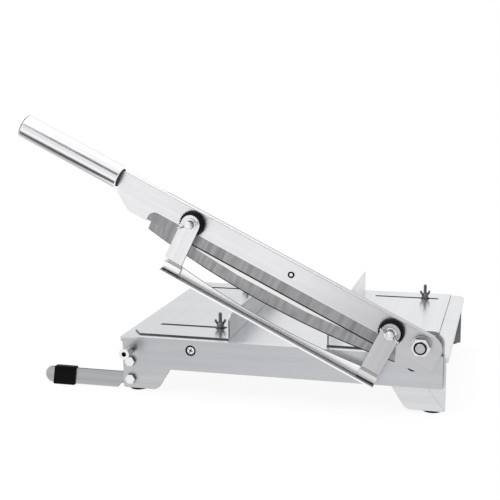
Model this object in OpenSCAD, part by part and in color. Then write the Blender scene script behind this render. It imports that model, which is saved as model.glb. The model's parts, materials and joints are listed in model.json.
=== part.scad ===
// Hand-lever bone cutting machine: a low sheet steel table with a fixed lower blade
// and a long knife arm that swings down past it on one pivot bolt.
// Places are given from the table's front left corner: x to the right, y to the back, z from the table top.
// On the arm, u runs from the pivot towards the handle and v stands square to it, upwards.

/* [Table] */
// Width of the table over its leg panels
table_w = 345; // [320:1:400]
// Depth of the table from its front panel to its back edge
table_d = 271; // [255:1:320]
// Height of the table top above the ground
table_h = 60; // [58:1:80]
// Thickness of the folded sheet
sheet_t = 2; // [1.5:0.1:2.5]
// Height of the lip that is turned down round the table
table_lip_h = 5.5; // [4:0.5:8]
// Radius of the table's two back corners
table_corner_r = 10; // [6:0.5:16]
// Width of a leg where it stands on the ground
leg_w = 39.5; // [36:0.5:60]
// Drop of the leg panels between their legs
panel_drop = 33; // [30:0.5:38]
// Diameter of a rubber foot
foot_d = 20; // [16:0.5:22]
// Height of a rubber foot below its leg
foot_h = 3; // [2:0.5:5]

/* [Lower blade] */
// Thickness of the fixed lower blade
blade_t = 5; // [4:0.5:6]
// Height of the lower blade's cutting edge above the table
blade_rise = 2; // [1:0.5:3]
// Depth of the lower blade below the table top
blade_drop = 32; // [28:0.5:36]
// Distance of the lower blade from the left edge of the table
blade_start = 20; // [18:0.5:26]
// Distance of the lower blade from the right edge of the table
blade_end = 2.5; // [1:0.5:6]

/* [Pivot] */
// Distance of the pivot from the right edge of the table
pivot_inset = 23.8; // [22:0.1:30]
// Height of the pivot above the table top
pivot_rise = 14.1; // [13:0.1:18]
// Diameter of the pivot bolt
pivot_d = 10; // [8:0.5:11]
// Thickness of the upright pivot bracket
bracket_t = 5; // [4:0.5:7]
// Height of the pivot bracket above the table top
bracket_rise = 24.3; // [23:0.1:32]

/* [Arm] */
// Angle of the raised arm above the table
arm_angle = 26.4; // [0:0.1:35]
// Length of the arm's bar from the pivot to the handle
arm_l = 348.8; // [345:0.1:370]
// Height of the arm's bar
arm_h = 24.3; // [22:0.1:26]
// Thickness of the arm's front plate
arm_front_t = 2.5; // [2:0.1:3]
// Thickness of the arm's folded rear plate
arm_rear_t = 2; // [1.5:0.1:2.5]
// Diameter of the handle tube
handle_d = 25.4; // [24:0.1:30]
// Length of the handle tube
handle_l = 117; // [100:1:150]

/* [Knife] */
// Thickness of the knife
knife_t = 3; // [2.5:0.1:4]
// Drop of the knife's thick part below the arm's centre line
knife_step = 22.7; // [20:0.1:23]
// Depth of the knife's cutting edge at its middle
knife_edge = 42.3; // [40:0.1:44]
// Height of the cutting edge's curve over its length
knife_belly = 10.5; // [7:0.5:12]
// Height of the ground bevel along the cutting edge
bevel_h = 13; // [10:0.5:14]

/* [Guard] */
// Length of the guard bar
guard_l = 248; // [240:0.5:255]
// Distance of the guard bar's lower edge below the arm's centre line
guard_drop = 60.8; // [58:0.1:64]
// Depth of the lip at the foot of the guard bar
guard_lip = 10; // [6:0.5:12]
// Width of an ear bracket
ear_w = 20; // [18:0.5:22]
// Thickness of an ear bracket
ear_t = 2.5; // [2:0.1:3]
// Diameter of a knurled spacer wheel
wheel_d = 26.8; // [24:0.1:28]
// Thickness of a knurled spacer wheel
wheel_t = 8; // [6:0.5:10]

/* [Fences] */
// Height of the fence lips above the table
fence_h = 26; // [20:1:40]
// Thickness of the fence sheet
fence_t = 1.5; // [1:0.1:2]
// Width of the fences' slots
slot_w = 6; // [5:0.1:7]
// Diameter of a fence stud
stud_d = 4; // [3.5:0.1:4.5]
// Height of a fence stud above the table
stud_rise = 18.8; // [16:0.1:24]

/* [Side support] */
// Length of the support bar outside the table
outrigger_l = 94; // [80:1:110]
// Height of the support bar
outrigger_h = 18; // [16:0.5:19]
// Thickness of the support bar
outrigger_t = 3; // [2:0.5:4]
// Length of the rubber sleeve on the support bar
sleeve_l = 26; // [20:0.5:32]
// Thickness of the rubber sleeve's wall
sleeve_t = 1.5; // [1.2:0.1:2]

/* [Hidden] */

$fn = 64;
// Faces of a large arc, and steps round a rounded corner of an outline
arc_faces = 720;
corner_steps = 8;
// Share by which a hexagon's corners stand out past its flats
hex_share = 1 / cos(30);
// Extra length that lets every cut run out through its face
overrun = 1;
// Radial clearance of a shaft in its hole
fit_gap = 0.05;
// Clearance between faces that slide or turn past each other
run_gap = 0.15;
// Clearance between the knife and the lower blade's face
shear_gap = 0.3;
// Clearance round a piece in a cut-out of the sheet
cut_gap = 0.2;
// Smallest rounding of a sheet's corner
soft_r = 1.5;

// Table and its legs
leg_h = table_h - foot_h;
leg_slant_w = 15;
leg_inner_r = 10;
leg_outer_r = 2;
foot_inset = 13.6;
foot_set_back = 12;
foot_flange_w = 2 * foot_inset;
foot_flange_l = 2 * foot_set_back;
foot_edge = 0.6;
foot_stem_d = 6;
foot_head_d = 9;
foot_head_h = 2;
lip_gap = cut_gap;
rear_panel_y = table_d - table_corner_r - 2 * sheet_t;

// Screws of the lower blade, and their distances from the table's left and right edges and its top
blade_screw_d = 5;
blade_screw_head_d = 10;
blade_screw_head_h = 2.8;
blade_screw_drop = 9.4;
blade_screw_left = 79.2;
blade_screw_right = 32.4;
blade_nut_af = 8;
blade_nut_h = 4;
recess_w = 1.1;
recess_l = 5.5;
recess_h = 1.4;
blade_screws = [[blade_screw_left, sheet_t], [table_w - blade_screw_right, sheet_t + bracket_t]];

// Pivot bracket, and the stack along the pivot bolt
pivot_x = table_w - pivot_inset;
bracket_start = 58;
bracket_end = 2;
bracket_drop = 31;
bracket_front_r = 12;
bracket_back_r = 22;
pivot_head_af = 16;
pivot_head_h = 6.4;
pivot_washer_d = 20;
pivot_washer_t = 2;
pivot_nut_af = 17;
pivot_nut_h = 8;
pivot_collar_d = 13.4;
pivot_collar_h = 2;
pivot_end = 1.2;
bush_d = 14;

// Layers along y: the knife passes in front of the lower blade, the arm's plates lie either side of it
knife_back = -blade_t - shear_gap;
knife_front = knife_back - knife_t;
arm_front = knife_front - arm_front_t;
arm_back = knife_back + arm_rear_t;
wheel_back = arm_front - run_gap;
wheel_front = wheel_back - wheel_t;
ear_back = wheel_front - run_gap;
ear_front = ear_back - ear_t;

// Arm outline
arm_top = 13.7;
arm_low = arm_top - arm_h;
arm_end_l = 21.5;
arm_end_r = 15;
lobe_toe_l = 14.9;
lobe_neck_l = 22;
lobe_drop = 28.8;
lobe_heel_drop = 25.2;
lobe_toe_r = 1.5;
lobe_heel_r = 10;
lobe_neck_r = 10;
tang_end_back = 19.8;
tang_flat_l = 21.8;
tang_rise = 10.7;
tang_notch_r = 8.5;
tang_end_l = arm_l - tang_end_back;
tang_start_l = tang_end_l - tang_flat_l;
fold_start_l = 8;
fold_end_back = 48.8;
fold_end_l = arm_l - fold_end_back;
fold_r = 8;
rivet_l = 146.5;
rivet_d = 5;
rivet_head_d = 7.4;
rivet_head_h = 1;

// Stop pin, which the arm's handle end lands on
stop_pin_x = 12;
stop_pin_drop = 12;
stop_pin_d = 9.5;
stop_pin_l = 26;
stop_pin_rim_d = 11.7;
stop_pin_rim_h = 2;
stop_pin_hole_d = 5;
stop_pin_hole_h = 4;
stop_pin_stud_d = 6;
stop_gap = 0.3;
closed_angle = 0.45;
tang_low = stop_pin_d / 2 + stop_gap - (pivot_rise + stop_pin_drop) * cos(closed_angle)
    - (pivot_x - stop_pin_x) * sin(closed_angle);

// Hex bolts in the left leg, from the table's left edge and the ground
leg_bolt_x = 8.9;
leg_bolt_rise = 33.3;
outrigger_bolt_rise = 13.4;
leg_bolt_d = 6;
leg_bolt_af = 10;
leg_bolt_head_h = 4;
leg_nut_h = 5;
outrigger_bolt_z = outrigger_bolt_rise - table_h;
leg_bolt_z = leg_bolt_rise - table_h;
outrigger_back = sheet_t + run_gap + outrigger_t;

// Knife outline
knife_toe_back = 4.4;
knife_bar_end = 5;
knife_toe_l = tang_start_l - knife_toe_back;
knife_bar_l = tang_start_l + knife_bar_end;
knife_top = 8;
knife_heel_l = 14;
knife_heel_rise = 10;
knife_low_start = 23.2;
knife_thin_t = 2.2;
knife_land = 0.4;
knife_half = (knife_toe_l - knife_low_start) / 2;
knife_mid_l = knife_low_start + knife_half;
knife_edge_r = (knife_half * knife_half + knife_belly * knife_belly) / (2 * knife_belly);

// Handle
handle_wall = 1.5;
handle_v = 3.7;
handle_y = (arm_front + knife_front) / 2;
handle_gap = 2.2;
handle_start = arm_l + handle_gap;
plug_l = 14;
plug_groove = 0.5;
plug_groove_count = 11;
plug_rim_l = handle_gap - cut_gap;
tang_l = 55;
tang_h = 16;
cap_l = 10;
cap_rim = 1;
cap_dome = 3;
handle_end = handle_start + handle_l;
cap_dome_r = (handle_d * handle_d / 4 + cap_dome * cap_dome) / (2 * cap_dome);

// Guard and the bolts that carry it, as distances along the arm
guard_start = 22.1;
guard_top = 46;
guard_sag = 9;
guard_t = 2;
guard_front = arm_front - guard_t - cut_gap;
guard_half = guard_l / 2;
guard_arc_r = (guard_half * guard_half + guard_sag * guard_sag) / (2 * guard_sag);
guard_bolt_right = 32;
guard_bolt_left = 260.3;
guard_bolt_v = -1.5;
guard_bolt_d = 6;
guard_bolt_head_d = 12;
guard_bolt_head_h = 2.6;
guard_washer_d = 13;
guard_washer_t = 1;
guard_bolt_end = 1;
ear_bend = 44.3;
ear_foot_gap = 0.6;
ear_foot_front = guard_front - ear_t;
ear_joggle = ear_foot_front - ear_front;
ear_foot_low = guard_drop - guard_t - ear_foot_gap;
guard_bolt_places = [guard_bolt_left, guard_bolt_right];
knurl_count = 40;
knurl_size = 1.6;

// Wing nuts: hub and wings, and the wing's outline as shares of its reach and height
wing_shares = [[0, 0.08], [0.5, 0.14], [0.98, 0.66], [0.96, 1], [0.68, 1], [0.46, 0.66], [0, 0.6]];
wing_corner_share = 0.1;
hub_top_share = 0.8;
guard_nut_hub_d = 10;
guard_nut_hub_h = 6.5;
guard_nut_span = 23;
guard_nut_wing_h = 9;
guard_nut_wing_t = 2;
left_nut_turn = -40;
right_nut_turn = 9;
fence_nut_hub_d = 8;
fence_nut_hub_h = 4.5;
fence_nut_span = 13;
fence_nut_wing_h = 8.5;
fence_nut_wing_t = 1.6;
fence_nut_turn = 15;

// Fences: plate edges and lips from the table's left edge, and their slots and studs
fence_front_y = 12;
fence_back = 1;
fence_lip_front = 4;
fence_lip_r = 7;
fence_corner_w = 11;
fence_corner_d = 15;
left_fence_out = 5;
left_fence_lip = 116.5;
right_fence_inset = 14;
right_fence_w = 109;
right_fence_out = table_w - right_fence_inset;
right_fence_lip = right_fence_out - right_fence_w;
slot_left_start = 25;
slot_right_inset = 18;
slot_right_start = right_fence_lip + slot_right_inset;
slot_l = 78;
slot_front_y = 53;
slot_back_inset = 29;
slot_back_y = table_d - slot_back_inset;
left_front_stud_x = 95;
left_back_stud_x = 74;
right_front_stud_inset = 75;
right_back_stud_inset = 43.6;
left_front_stud = [left_front_stud_x, slot_front_y];
left_back_stud = [left_back_stud_x, slot_back_y];
right_front_stud = [table_w - right_front_stud_inset, slot_front_y];
right_back_stud = [table_w - right_back_stud_inset, slot_back_y];
studs = [left_front_stud, left_back_stud, right_front_stud, right_back_stud];
stud_head_d = 8;
stud_head_h = 1.5;
fence_washer_d = 11;
fence_washer_t = 1;
fence_top = run_gap + fence_t;
fence_nut_z = fence_top + fence_washer_t + 2 * run_gap;

// Side support bar
outrigger_rise = 1.5;
outrigger_z = outrigger_rise - table_h;
outrigger_end_r = 8.5;
outrigger_inner_l = 7.6;
outrigger_notch_x = 8;
outrigger_notch_w = 4;
outrigger_notch_h = 4.8;
outrigger_tail_r = 6;
sleeve_end = 9;
sleeve_lean = 3;

// The object's own origin: the middle of its outer box, on the ground
cap_centre_l = handle_end + cap_rim + cap_dome - cap_dome_r;
handle_reach = cap_centre_l * cos(arm_angle) - handle_v * sin(arm_angle) + cap_dome_r;
guard_bolt_front = ear_front - guard_washer_t - run_gap - guard_nut_hub_h - guard_bolt_end;
guard_nut_front = ear_front - guard_washer_t - run_gap - guard_nut_wing_h;
origin_x = (pivot_x - handle_reach + table_w + sheet_t + lip_gap) / 2;
origin_y = (min(guard_bolt_front, guard_nut_front) + max(table_d, rear_panel_y + foot_flange_l)) / 2;

// Unit vector along a line
function unit(line) = line / norm(line);

// Points round the corner at b, between a and c, rounded with radius r
function corner(a, b, c, r) =
    let (back = unit(a - b),
         ahead = unit(c - b),
         half = acos(back * ahead) / 2,
         centre = b + unit(back + ahead) * r / sin(half),
         from = b + back * r / tan(half) - centre,
         to = b + ahead * r / tan(half) - centre,
         start = atan2(from.y, from.x),
         sweep = (atan2(to.y, to.x) - start + 540) % 360 - 180)
    r == 0 ? [b] : [for (i = [0:corner_steps])
        centre + r * [cos(start + sweep * i / corner_steps), sin(start + sweep * i / corner_steps)]];

// Outline through the points, each corner rounded with its own radius
function rounded(points, radii) =
    let (count = len(points))
    [for (i = [0:count - 1])
        each corner(points[(i + count - 1) % count], points[i], points[(i + 1) % count], radii[i])];

// Moves a piece from the table's corner to the object's own origin
module in_frame() {
    translate([-origin_x, -origin_y, table_h])
        children();
}

// Carries a piece on the raised arm, with the handle towards -x
module on_arm() {
    in_frame()
        translate([pivot_x, 0, pivot_rise])
            rotate([0, arm_angle, 0])
                children();
}

// Upright plate between two depths, from an outline in x and z
module plate(front, back) {
    translate([0, back, 0])
        rotate([90, 0, 0])
            linear_extrude(back - front)
                children();
}

// Upright plate on the arm, from an outline in u and v
module arm_plate(front, back) {
    plate(front, back)
        mirror([1, 0])
            children();
}

// Turns a piece built along z so that it runs back from the depth y
module along_y(x, y, z) {
    translate([x, y, z])
        rotate([-90, 0, 0])
            children();
}

// Round hole through every layer at a place in x and z
module hole(x, z, d) {
    along_y(x, -table_d, z)
        cylinder(d = d + 2 * fit_gap, h = 2 * table_d);
}

// Hexagonal nut along z
module hex_nut(af, h, d) {
    difference() {
        cylinder(d = af * hex_share, h = h, $fn = 6);
        translate([0, 0, -overrun])
            cylinder(d = d + 2 * fit_gap, h = h + 2 * overrun);
    }
}

// Flat ring along z
module ring(outer_d, inner_d, h) {
    difference() {
        cylinder(d = outer_d, h = h);
        translate([0, 0, -overrun])
            cylinder(d = inner_d + 2 * fit_gap, h = h + 2 * overrun);
    }
}

// Slot with round ends along x, from its left end
module slot(l, w) {
    for (x = [w / 2, l - w / 2])
        translate([x, 0])
            circle(d = w);
    translate([w / 2, -w / 2])
        square([l - w, w]);
}

// Wing nut along z with its wings along x
module wing_nut(hub_d, hub_h, span, wing_h, wing_t, bore_d) {
    reach = span / 2;
    outline = [for (p = wing_shares) [p.x * reach, p.y * wing_h]];
    radii = [for (p = outline) p.x > 0 ? wing_corner_share * reach : 0];
    difference() {
        union() {
            cylinder(d1 = hub_d, d2 = hub_d * hub_top_share, h = hub_h);
            for (side = [0, 180])
                rotate([0, 0, side])
                    translate([0, wing_t / 2, 0])
                        rotate([90, 0, 0])
                            linear_extrude(wing_t)
                                polygon(rounded(outline, radii));
        }
        translate([0, 0, -overrun])
            cylinder(d = bore_d + 2 * fit_gap, h = wing_h + 2 * overrun);
    }
}

// Table top seen from above, drawn in by an inset
module table_outline(inset) {
    side = sheet_t + lip_gap - inset;
    right = table_w + side;
    back = table_d - inset;
    back_r = table_corner_r - inset;
    polygon(rounded([[-side, 0], [right, 0], [right, back], [-side, back]], [0, 0, back_r, back_r]));
}

module table_top() {
    color("gainsboro")
        in_frame()
            difference() {
                translate([0, 0, -table_lip_h])
                    linear_extrude(table_lip_h)
                        table_outline(0);
                translate([0, -overrun, -table_lip_h - overrun])
                    linear_extrude(table_lip_h + overrun - sheet_t)
                        table_outline(sheet_t);
                translate([table_w - bracket_start - cut_gap, sheet_t - fit_gap, -sheet_t - overrun])
                    cube([bracket_start - bracket_end + 2 * cut_gap, bracket_t + 2 * fit_gap,
                          sheet_t + 2 * overrun]);
                for (place = studs)
                    translate([place.x, place.y, -sheet_t - overrun])
                        cylinder(d = stud_d + 2 * fit_gap, h = sheet_t + 2 * overrun);
            }
}

// Leg panel as a sheet with two legs, and a foot flange at the bottom of each, turned towards +y
module leg_panel() {
    outline = [[0, -sheet_t], [0, -leg_h], [leg_w, -leg_h], [leg_w + leg_slant_w, -panel_drop],
               [table_w - leg_w - leg_slant_w, -panel_drop], [table_w - leg_w, -leg_h],
               [table_w, -leg_h], [table_w, -sheet_t]];
    radii = [0, leg_outer_r, leg_inner_r, soft_r, soft_r, leg_inner_r, leg_outer_r, 0];
    difference() {
        union() {
            plate(0, sheet_t)
                polygon(rounded(outline, radii));
            for (x = [leg_outer_r, table_w - foot_flange_w])
                translate([x, overrun, -leg_h])
                    cube([foot_flange_w - leg_outer_r, foot_flange_l - overrun, sheet_t]);
        }
        for (x = [foot_inset, table_w - foot_inset])
            translate([x, foot_set_back, -leg_h - overrun])
                cylinder(d = foot_stem_d + 2 * fit_gap, h = sheet_t + 2 * overrun);
    }
}

module front_leg_panel() {
    color("lightgray")
        in_frame()
            difference() {
                leg_panel();
                for (screw = blade_screws)
                    hole(screw[0], -blade_screw_drop, blade_screw_d);
                hole(stop_pin_x, -stop_pin_drop, stop_pin_stud_d);
                hole(leg_bolt_x, leg_bolt_z, leg_bolt_d);
                hole(leg_bolt_x, outrigger_bolt_z, leg_bolt_d);
            }
}

module rear_leg_panel() {
    color("lightgray")
        in_frame()
            translate([0, rear_panel_y, 0])
                leg_panel();
}

// Push-in rubber foot: pad, stem through the flange and a head above it
module rubber_foot() {
    r = foot_d / 2;
    stem_r = foot_stem_d / 2;
    rotate_extrude()
        polygon([[0, 0], [r - foot_edge, 0], [r, foot_edge], [r, foot_h], [stem_r, foot_h],
                 [stem_r, foot_h + sheet_t], [foot_head_d / 2, foot_h + sheet_t],
                 [stem_r, foot_h + sheet_t + foot_head_h], [0, foot_h + sheet_t + foot_head_h]]);
}

module rubber_feet() {
    color([0.08, 0.08, 0.09])
        in_frame()
            for (x = [foot_inset, table_w - foot_inset])
                for (y = [foot_set_back, rear_panel_y + foot_set_back])
                    translate([x, y, -table_h])
                        rubber_foot();
}

module lower_blade() {
    color("silver")
        in_frame()
            difference() {
                plate(-blade_t, 0)
                    translate([blade_start, -blade_drop])
                        square([table_w - blade_end - blade_start, blade_drop + blade_rise]);
                for (screw = blade_screws) {
                    hole(screw[0], -blade_screw_drop, blade_screw_d);
                    along_y(screw[0], -blade_t, -blade_screw_drop)
                        cylinder(d1 = blade_screw_head_d + 2 * fit_gap, d2 = blade_screw_d + 2 * fit_gap,
                                 h = blade_screw_head_h);
                }
            }
}

// Countersunk screw along z with a cross recess in its face
module countersunk_screw(l) {
    difference() {
        union() {
            cylinder(d1 = blade_screw_head_d, d2 = blade_screw_d, h = blade_screw_head_h);
            cylinder(d = blade_screw_d, h = l);
        }
        for (turn = [0, 90])
            rotate([0, 0, turn + 30])
                translate([-recess_l / 2, -recess_w / 2, -overrun])
                    cube([recess_l, recess_w, recess_h + overrun]);
    }
}

module lower_blade_screws() {
    color("lightgray")
        in_frame()
            for (screw = blade_screws)
                along_y(screw[0], -blade_t, -blade_screw_drop)
                    countersunk_screw(blade_t + screw[1] + blade_nut_h);
}

module lower_blade_nuts() {
    color("silver")
        in_frame()
            for (screw = blade_screws)
                along_y(screw[0], screw[1], -blade_screw_drop)
                    hex_nut(blade_nut_af, blade_nut_h, blade_screw_d);
}

module pivot_bracket() {
    left = table_w - bracket_start;
    right = table_w - bracket_end;
    outline = [[left, -bracket_drop], [right, -bracket_drop], [right, bracket_rise], [left, bracket_rise]];
    color("darkgray")
        in_frame()
            difference() {
                plate(sheet_t, sheet_t + bracket_t)
                    polygon(rounded(outline, [soft_r, soft_r, bracket_front_r, bracket_back_r]));
                hole(pivot_x, pivot_rise, pivot_d);
                hole(table_w - blade_screw_right, -blade_screw_drop, blade_screw_d);
            }
}

module pivot_bolt() {
    front = arm_front - run_gap - pivot_washer_t - pivot_nut_h - pivot_collar_h - pivot_end;
    back = sheet_t + bracket_t;
    color("silver")
        in_frame() {
            along_y(pivot_x, front, pivot_rise)
                cylinder(d = pivot_d, h = back - front);
            along_y(pivot_x, back, pivot_rise)
                cylinder(d = pivot_head_af * hex_share, h = pivot_head_h, $fn = 6);
        }
}

module pivot_spacer() {
    color("silver")
        in_frame()
            along_y(pivot_x, arm_back + run_gap, pivot_rise)
                ring(pivot_washer_d, pivot_d, sheet_t - arm_back - run_gap);
}

module pivot_washer() {
    color("silver")
        in_frame()
            along_y(pivot_x, arm_front - run_gap - pivot_washer_t, pivot_rise)
                ring(pivot_washer_d, pivot_d, pivot_washer_t);
}

module pivot_lock_nut() {
    front = arm_front - run_gap - pivot_washer_t - pivot_nut_h;
    color("silver")
        in_frame() {
            along_y(pivot_x, front, pivot_rise)
                hex_nut(pivot_nut_af, pivot_nut_h, pivot_d);
            along_y(pivot_x, front - pivot_collar_h, pivot_rise)
                ring(pivot_collar_d, pivot_d, pivot_collar_h);
        }
}

module stop_pin() {
    color("silver")
        in_frame()
            difference() {
                union() {
                    along_y(stop_pin_x, -stop_pin_l, -stop_pin_drop)
                        cylinder(d = stop_pin_d, h = stop_pin_l);
                    along_y(stop_pin_x, -stop_pin_l, -stop_pin_drop)
                        cylinder(d = stop_pin_rim_d, h = stop_pin_rim_h);
                    along_y(stop_pin_x, -overrun, -stop_pin_drop)
                        cylinder(d = stop_pin_stud_d, h = overrun + sheet_t + leg_nut_h);
                }
                along_y(stop_pin_x, -stop_pin_l - overrun, -stop_pin_drop)
                    cylinder(d = stop_pin_hole_d, h = stop_pin_hole_h + overrun);
            }
}

module stop_pin_nut() {
    color("silver")
        in_frame()
            along_y(stop_pin_x, sheet_t, -stop_pin_drop)
                hex_nut(leg_bolt_af, leg_nut_h, stop_pin_stud_d);
}

// Hex bolt from the panel's front to a given depth behind it
module leg_bolt(z, depth) {
    along_y(leg_bolt_x, -leg_bolt_head_h, z)
        cylinder(d = leg_bolt_af * hex_share, h = leg_bolt_head_h, $fn = 6);
    along_y(leg_bolt_x, -overrun, z)
        cylinder(d = leg_bolt_d, h = overrun + depth + leg_nut_h);
}

module leg_bolts() {
    color("silver")
        in_frame() {
            leg_bolt(leg_bolt_z, sheet_t);
            leg_bolt(outrigger_bolt_z, outrigger_back + run_gap);
        }
}

module leg_bolt_nuts() {
    color("silver")
        in_frame() {
            along_y(leg_bolt_x, sheet_t, leg_bolt_z)
                hex_nut(leg_bolt_af, leg_nut_h, leg_bolt_d);
            along_y(leg_bolt_x, outrigger_back + run_gap, outrigger_bolt_z)
                hex_nut(leg_bolt_af, leg_nut_h, leg_bolt_d);
        }
}

// Support bar's outline, wider all round by a margin
module outrigger_outline(margin) {
    left = -outrigger_l - margin;
    low = outrigger_z - margin;
    high = outrigger_z + outrigger_h + margin;
    tail = leg_bolt_x + outrigger_inner_l;
    notch_x = outrigger_notch_w - outrigger_notch_x;
    notch_z = low + outrigger_notch_h;
    polygon(rounded([[left, low], [-outrigger_notch_x, low], [notch_x, notch_z],
                     [tail, notch_z], [tail, high], [left, high]],
                    [outrigger_end_r, 0, soft_r, outrigger_tail_r, outrigger_tail_r, outrigger_end_r]));
}

module outrigger_bar() {
    color("silver")
        in_frame()
            difference() {
                plate(sheet_t + run_gap, outrigger_back)
                    outrigger_outline(0);
                hole(leg_bolt_x, outrigger_bolt_z, leg_bolt_d);
            }
}

module outrigger_sleeve() {
    left = sleeve_end - outrigger_l;
    low = outrigger_z - sleeve_t;
    high = outrigger_z + outrigger_h + sleeve_t;
    right = left + sleeve_l;
    color([0.07, 0.07, 0.08])
        in_frame()
            difference() {
                plate(sheet_t + run_gap - sleeve_t, outrigger_back + sleeve_t)
                    polygon(rounded([[left, low], [right, low], [right + sleeve_lean, high],
                                     [left + sleeve_lean, high]],
                                    [soft_r, soft_r, soft_r, soft_r]));
                plate(sheet_t + run_gap - fit_gap, outrigger_back + fit_gap)
                    outrigger_outline(fit_gap);
            }
}

// Fence: plate on the table from its outer edge to its lip, with two slots and an upright lip
module fence(outer_x, lip_x, slot_start) {
    inward = lip_x > outer_x ? 1 : -1;
    back_y = table_d - fence_back;
    lip_left = min(lip_x, lip_x - inward * fence_t);
    in_frame()
        difference() {
            union() {
                translate([0, 0, run_gap])
                    linear_extrude(fence_t)
                        polygon([[outer_x + inward * fence_corner_w, fence_front_y], [lip_x, fence_front_y],
                                 [lip_x, back_y], [outer_x, back_y],
                                 [outer_x, fence_front_y + fence_corner_d]]);
                translate([lip_left, 0, 0])
                    rotate([90, 0, 90])
                        linear_extrude(fence_t)
                            polygon(rounded([[fence_front_y + fence_lip_front, run_gap], [back_y, run_gap],
                                             [back_y, fence_h], [fence_front_y + fence_lip_front, fence_h]],
                                            [0, 0, soft_r, fence_lip_r]));
            }
            for (y = [slot_front_y, slot_back_y])
                translate([slot_start, y, run_gap - overrun])
                    linear_extrude(fence_t + 2 * overrun)
                        slot(slot_l, slot_w);
        }
}

module left_fence() {
    color("whitesmoke")
        fence(left_fence_out, left_fence_lip, slot_left_start);
}

module right_fence() {
    color("whitesmoke")
        fence(right_fence_out, right_fence_lip, slot_right_start);
}

module fence_studs() {
    color("silver")
        in_frame()
            for (place = studs)
                translate([place.x, place.y, -sheet_t - stud_head_h]) {
                    cylinder(d = stud_head_d, h = stud_head_h);
                    cylinder(d = stud_d, h = stud_head_h + sheet_t + stud_rise);
                }
}

module fence_washers() {
    color("gray")
        in_frame()
            for (place = studs)
                translate([place.x, place.y, fence_top + run_gap])
                    ring(fence_washer_d, stud_d, fence_washer_t);
}

module fence_wing_nut(place) {
    color("dimgray")
        in_frame()
            translate([place.x, place.y, fence_nut_z])
                rotate([0, 0, fence_nut_turn])
                    wing_nut(fence_nut_hub_d, fence_nut_hub_h, fence_nut_span, fence_nut_wing_h,
                             fence_nut_wing_t, stud_d);
}

module left_front_wing_nut() {
    fence_wing_nut(left_front_stud);
}

module left_back_wing_nut() {
    fence_wing_nut(left_back_stud);
}

module right_front_wing_nut() {
    fence_wing_nut(right_front_stud);
}

module right_back_wing_nut() {
    fence_wing_nut(right_back_stud);
}

// Front plate of the arm: round end at the pivot, long bar, and a deep tang under the handle
module arm_front_outline() {
    polygon(rounded([[-arm_end_l, arm_top], [arm_l, arm_top], [arm_l, -tang_rise], [tang_end_l, tang_low],
                     [tang_start_l, tang_low], [tang_start_l, arm_low], [lobe_neck_l, arm_low],
                     [lobe_toe_l, -lobe_drop], [-arm_end_l, -lobe_heel_drop]],
                    [arm_end_r, soft_r, soft_r, soft_r, 0, tang_notch_r,
                     lobe_neck_r, lobe_toe_r, lobe_heel_r]));
    translate([arm_l - overrun, handle_v - tang_h / 2])
        square([tang_l + overrun, tang_h]);
}

module arm() {
    fold = [[-fold_start_l, arm_top], [fold_end_l, arm_top], [fold_end_l, arm_low], [-fold_start_l, arm_low]];
    color("gainsboro")
        on_arm()
            difference() {
                union() {
                    arm_plate(arm_front, knife_front)
                        arm_front_outline();
                    arm_plate(knife_back, arm_back)
                        polygon(rounded(fold, [0, 0, soft_r, fold_r]));
                    arm_plate(arm_front, arm_back)
                        translate([-fold_start_l, arm_top - arm_rear_t])
                            square([fold_start_l + fold_end_l, arm_rear_t]);
                }
                hole(0, 0, bush_d);
                hole(-rivet_l, 0, rivet_d);
                for (l = guard_bolt_places)
                    hole(-l, guard_bolt_v, guard_bolt_d);
            }
}

module pivot_bush() {
    color("goldenrod")
        on_arm()
            along_y(0, arm_front, 0)
                ring(bush_d, pivot_d, arm_back - arm_front);
}

// Knife: thick upper part, thinner lower part with a ground bevel and a long curved edge
module knife() {
    heel_foot = [knife_heel_rise - knife_heel_l, -knife_step];
    color("darkgray")
        on_arm()
            difference() {
                union() {
                    arm_plate(knife_front, knife_back)
                        polygon([[-knife_heel_l, knife_top], [knife_bar_l, knife_top],
                                 [knife_bar_l, -knife_step], heel_foot, [-knife_heel_l, -knife_heel_rise]]);
                    intersection() {
                        arm_plate(knife_back - knife_thin_t, knife_back)
                            polygon([heel_foot + [0, overrun], [knife_toe_l, overrun - knife_step],
                                     [knife_toe_l, -knife_edge], [knife_low_start - overrun, -knife_edge],
                                     heel_foot]);
                        union() {
                            along_y(-knife_mid_l, knife_back - knife_thin_t, knife_edge_r - knife_edge)
                                cylinder(r1 = knife_edge_r - bevel_h, r2 = knife_edge_r,
                                         h = knife_thin_t - knife_land, $fn = arc_faces);
                            along_y(-knife_mid_l, knife_back - knife_land, knife_edge_r - knife_edge)
                                cylinder(r = knife_edge_r, h = knife_land, $fn = arc_faces);
                        }
                    }
                }
                hole(0, 0, bush_d);
                hole(-rivet_l, 0, rivet_d);
                for (l = guard_bolt_places)
                    hole(-l, guard_bolt_v, guard_bolt_d);
            }
}

module knife_rivet() {
    color("silver")
        on_arm() {
            along_y(-rivet_l, arm_front - rivet_head_h, 0)
                cylinder(d = rivet_head_d, h = rivet_head_h);
            along_y(-rivet_l, arm_front - rivet_head_h, 0)
                cylinder(d = rivet_d, h = arm_back - arm_front + 2 * rivet_head_h);
            along_y(-rivet_l, arm_back, 0)
                cylinder(d = rivet_head_d, h = rivet_head_h);
        }
}

// Turns a piece built along z so that it runs out along the handle from the length l
module along_handle(l) {
    translate([-l, handle_y, handle_v])
        rotate([0, -90, 0])
            children();
}

module handle_tube() {
    color("lightgray")
        on_arm()
            along_handle(handle_start)
                difference() {
                    cylinder(d = handle_d, h = handle_l);
                    translate([0, 0, -overrun])
                        cylinder(d = handle_d - 2 * handle_wall, h = handle_l + 2 * overrun);
                }
}

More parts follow.
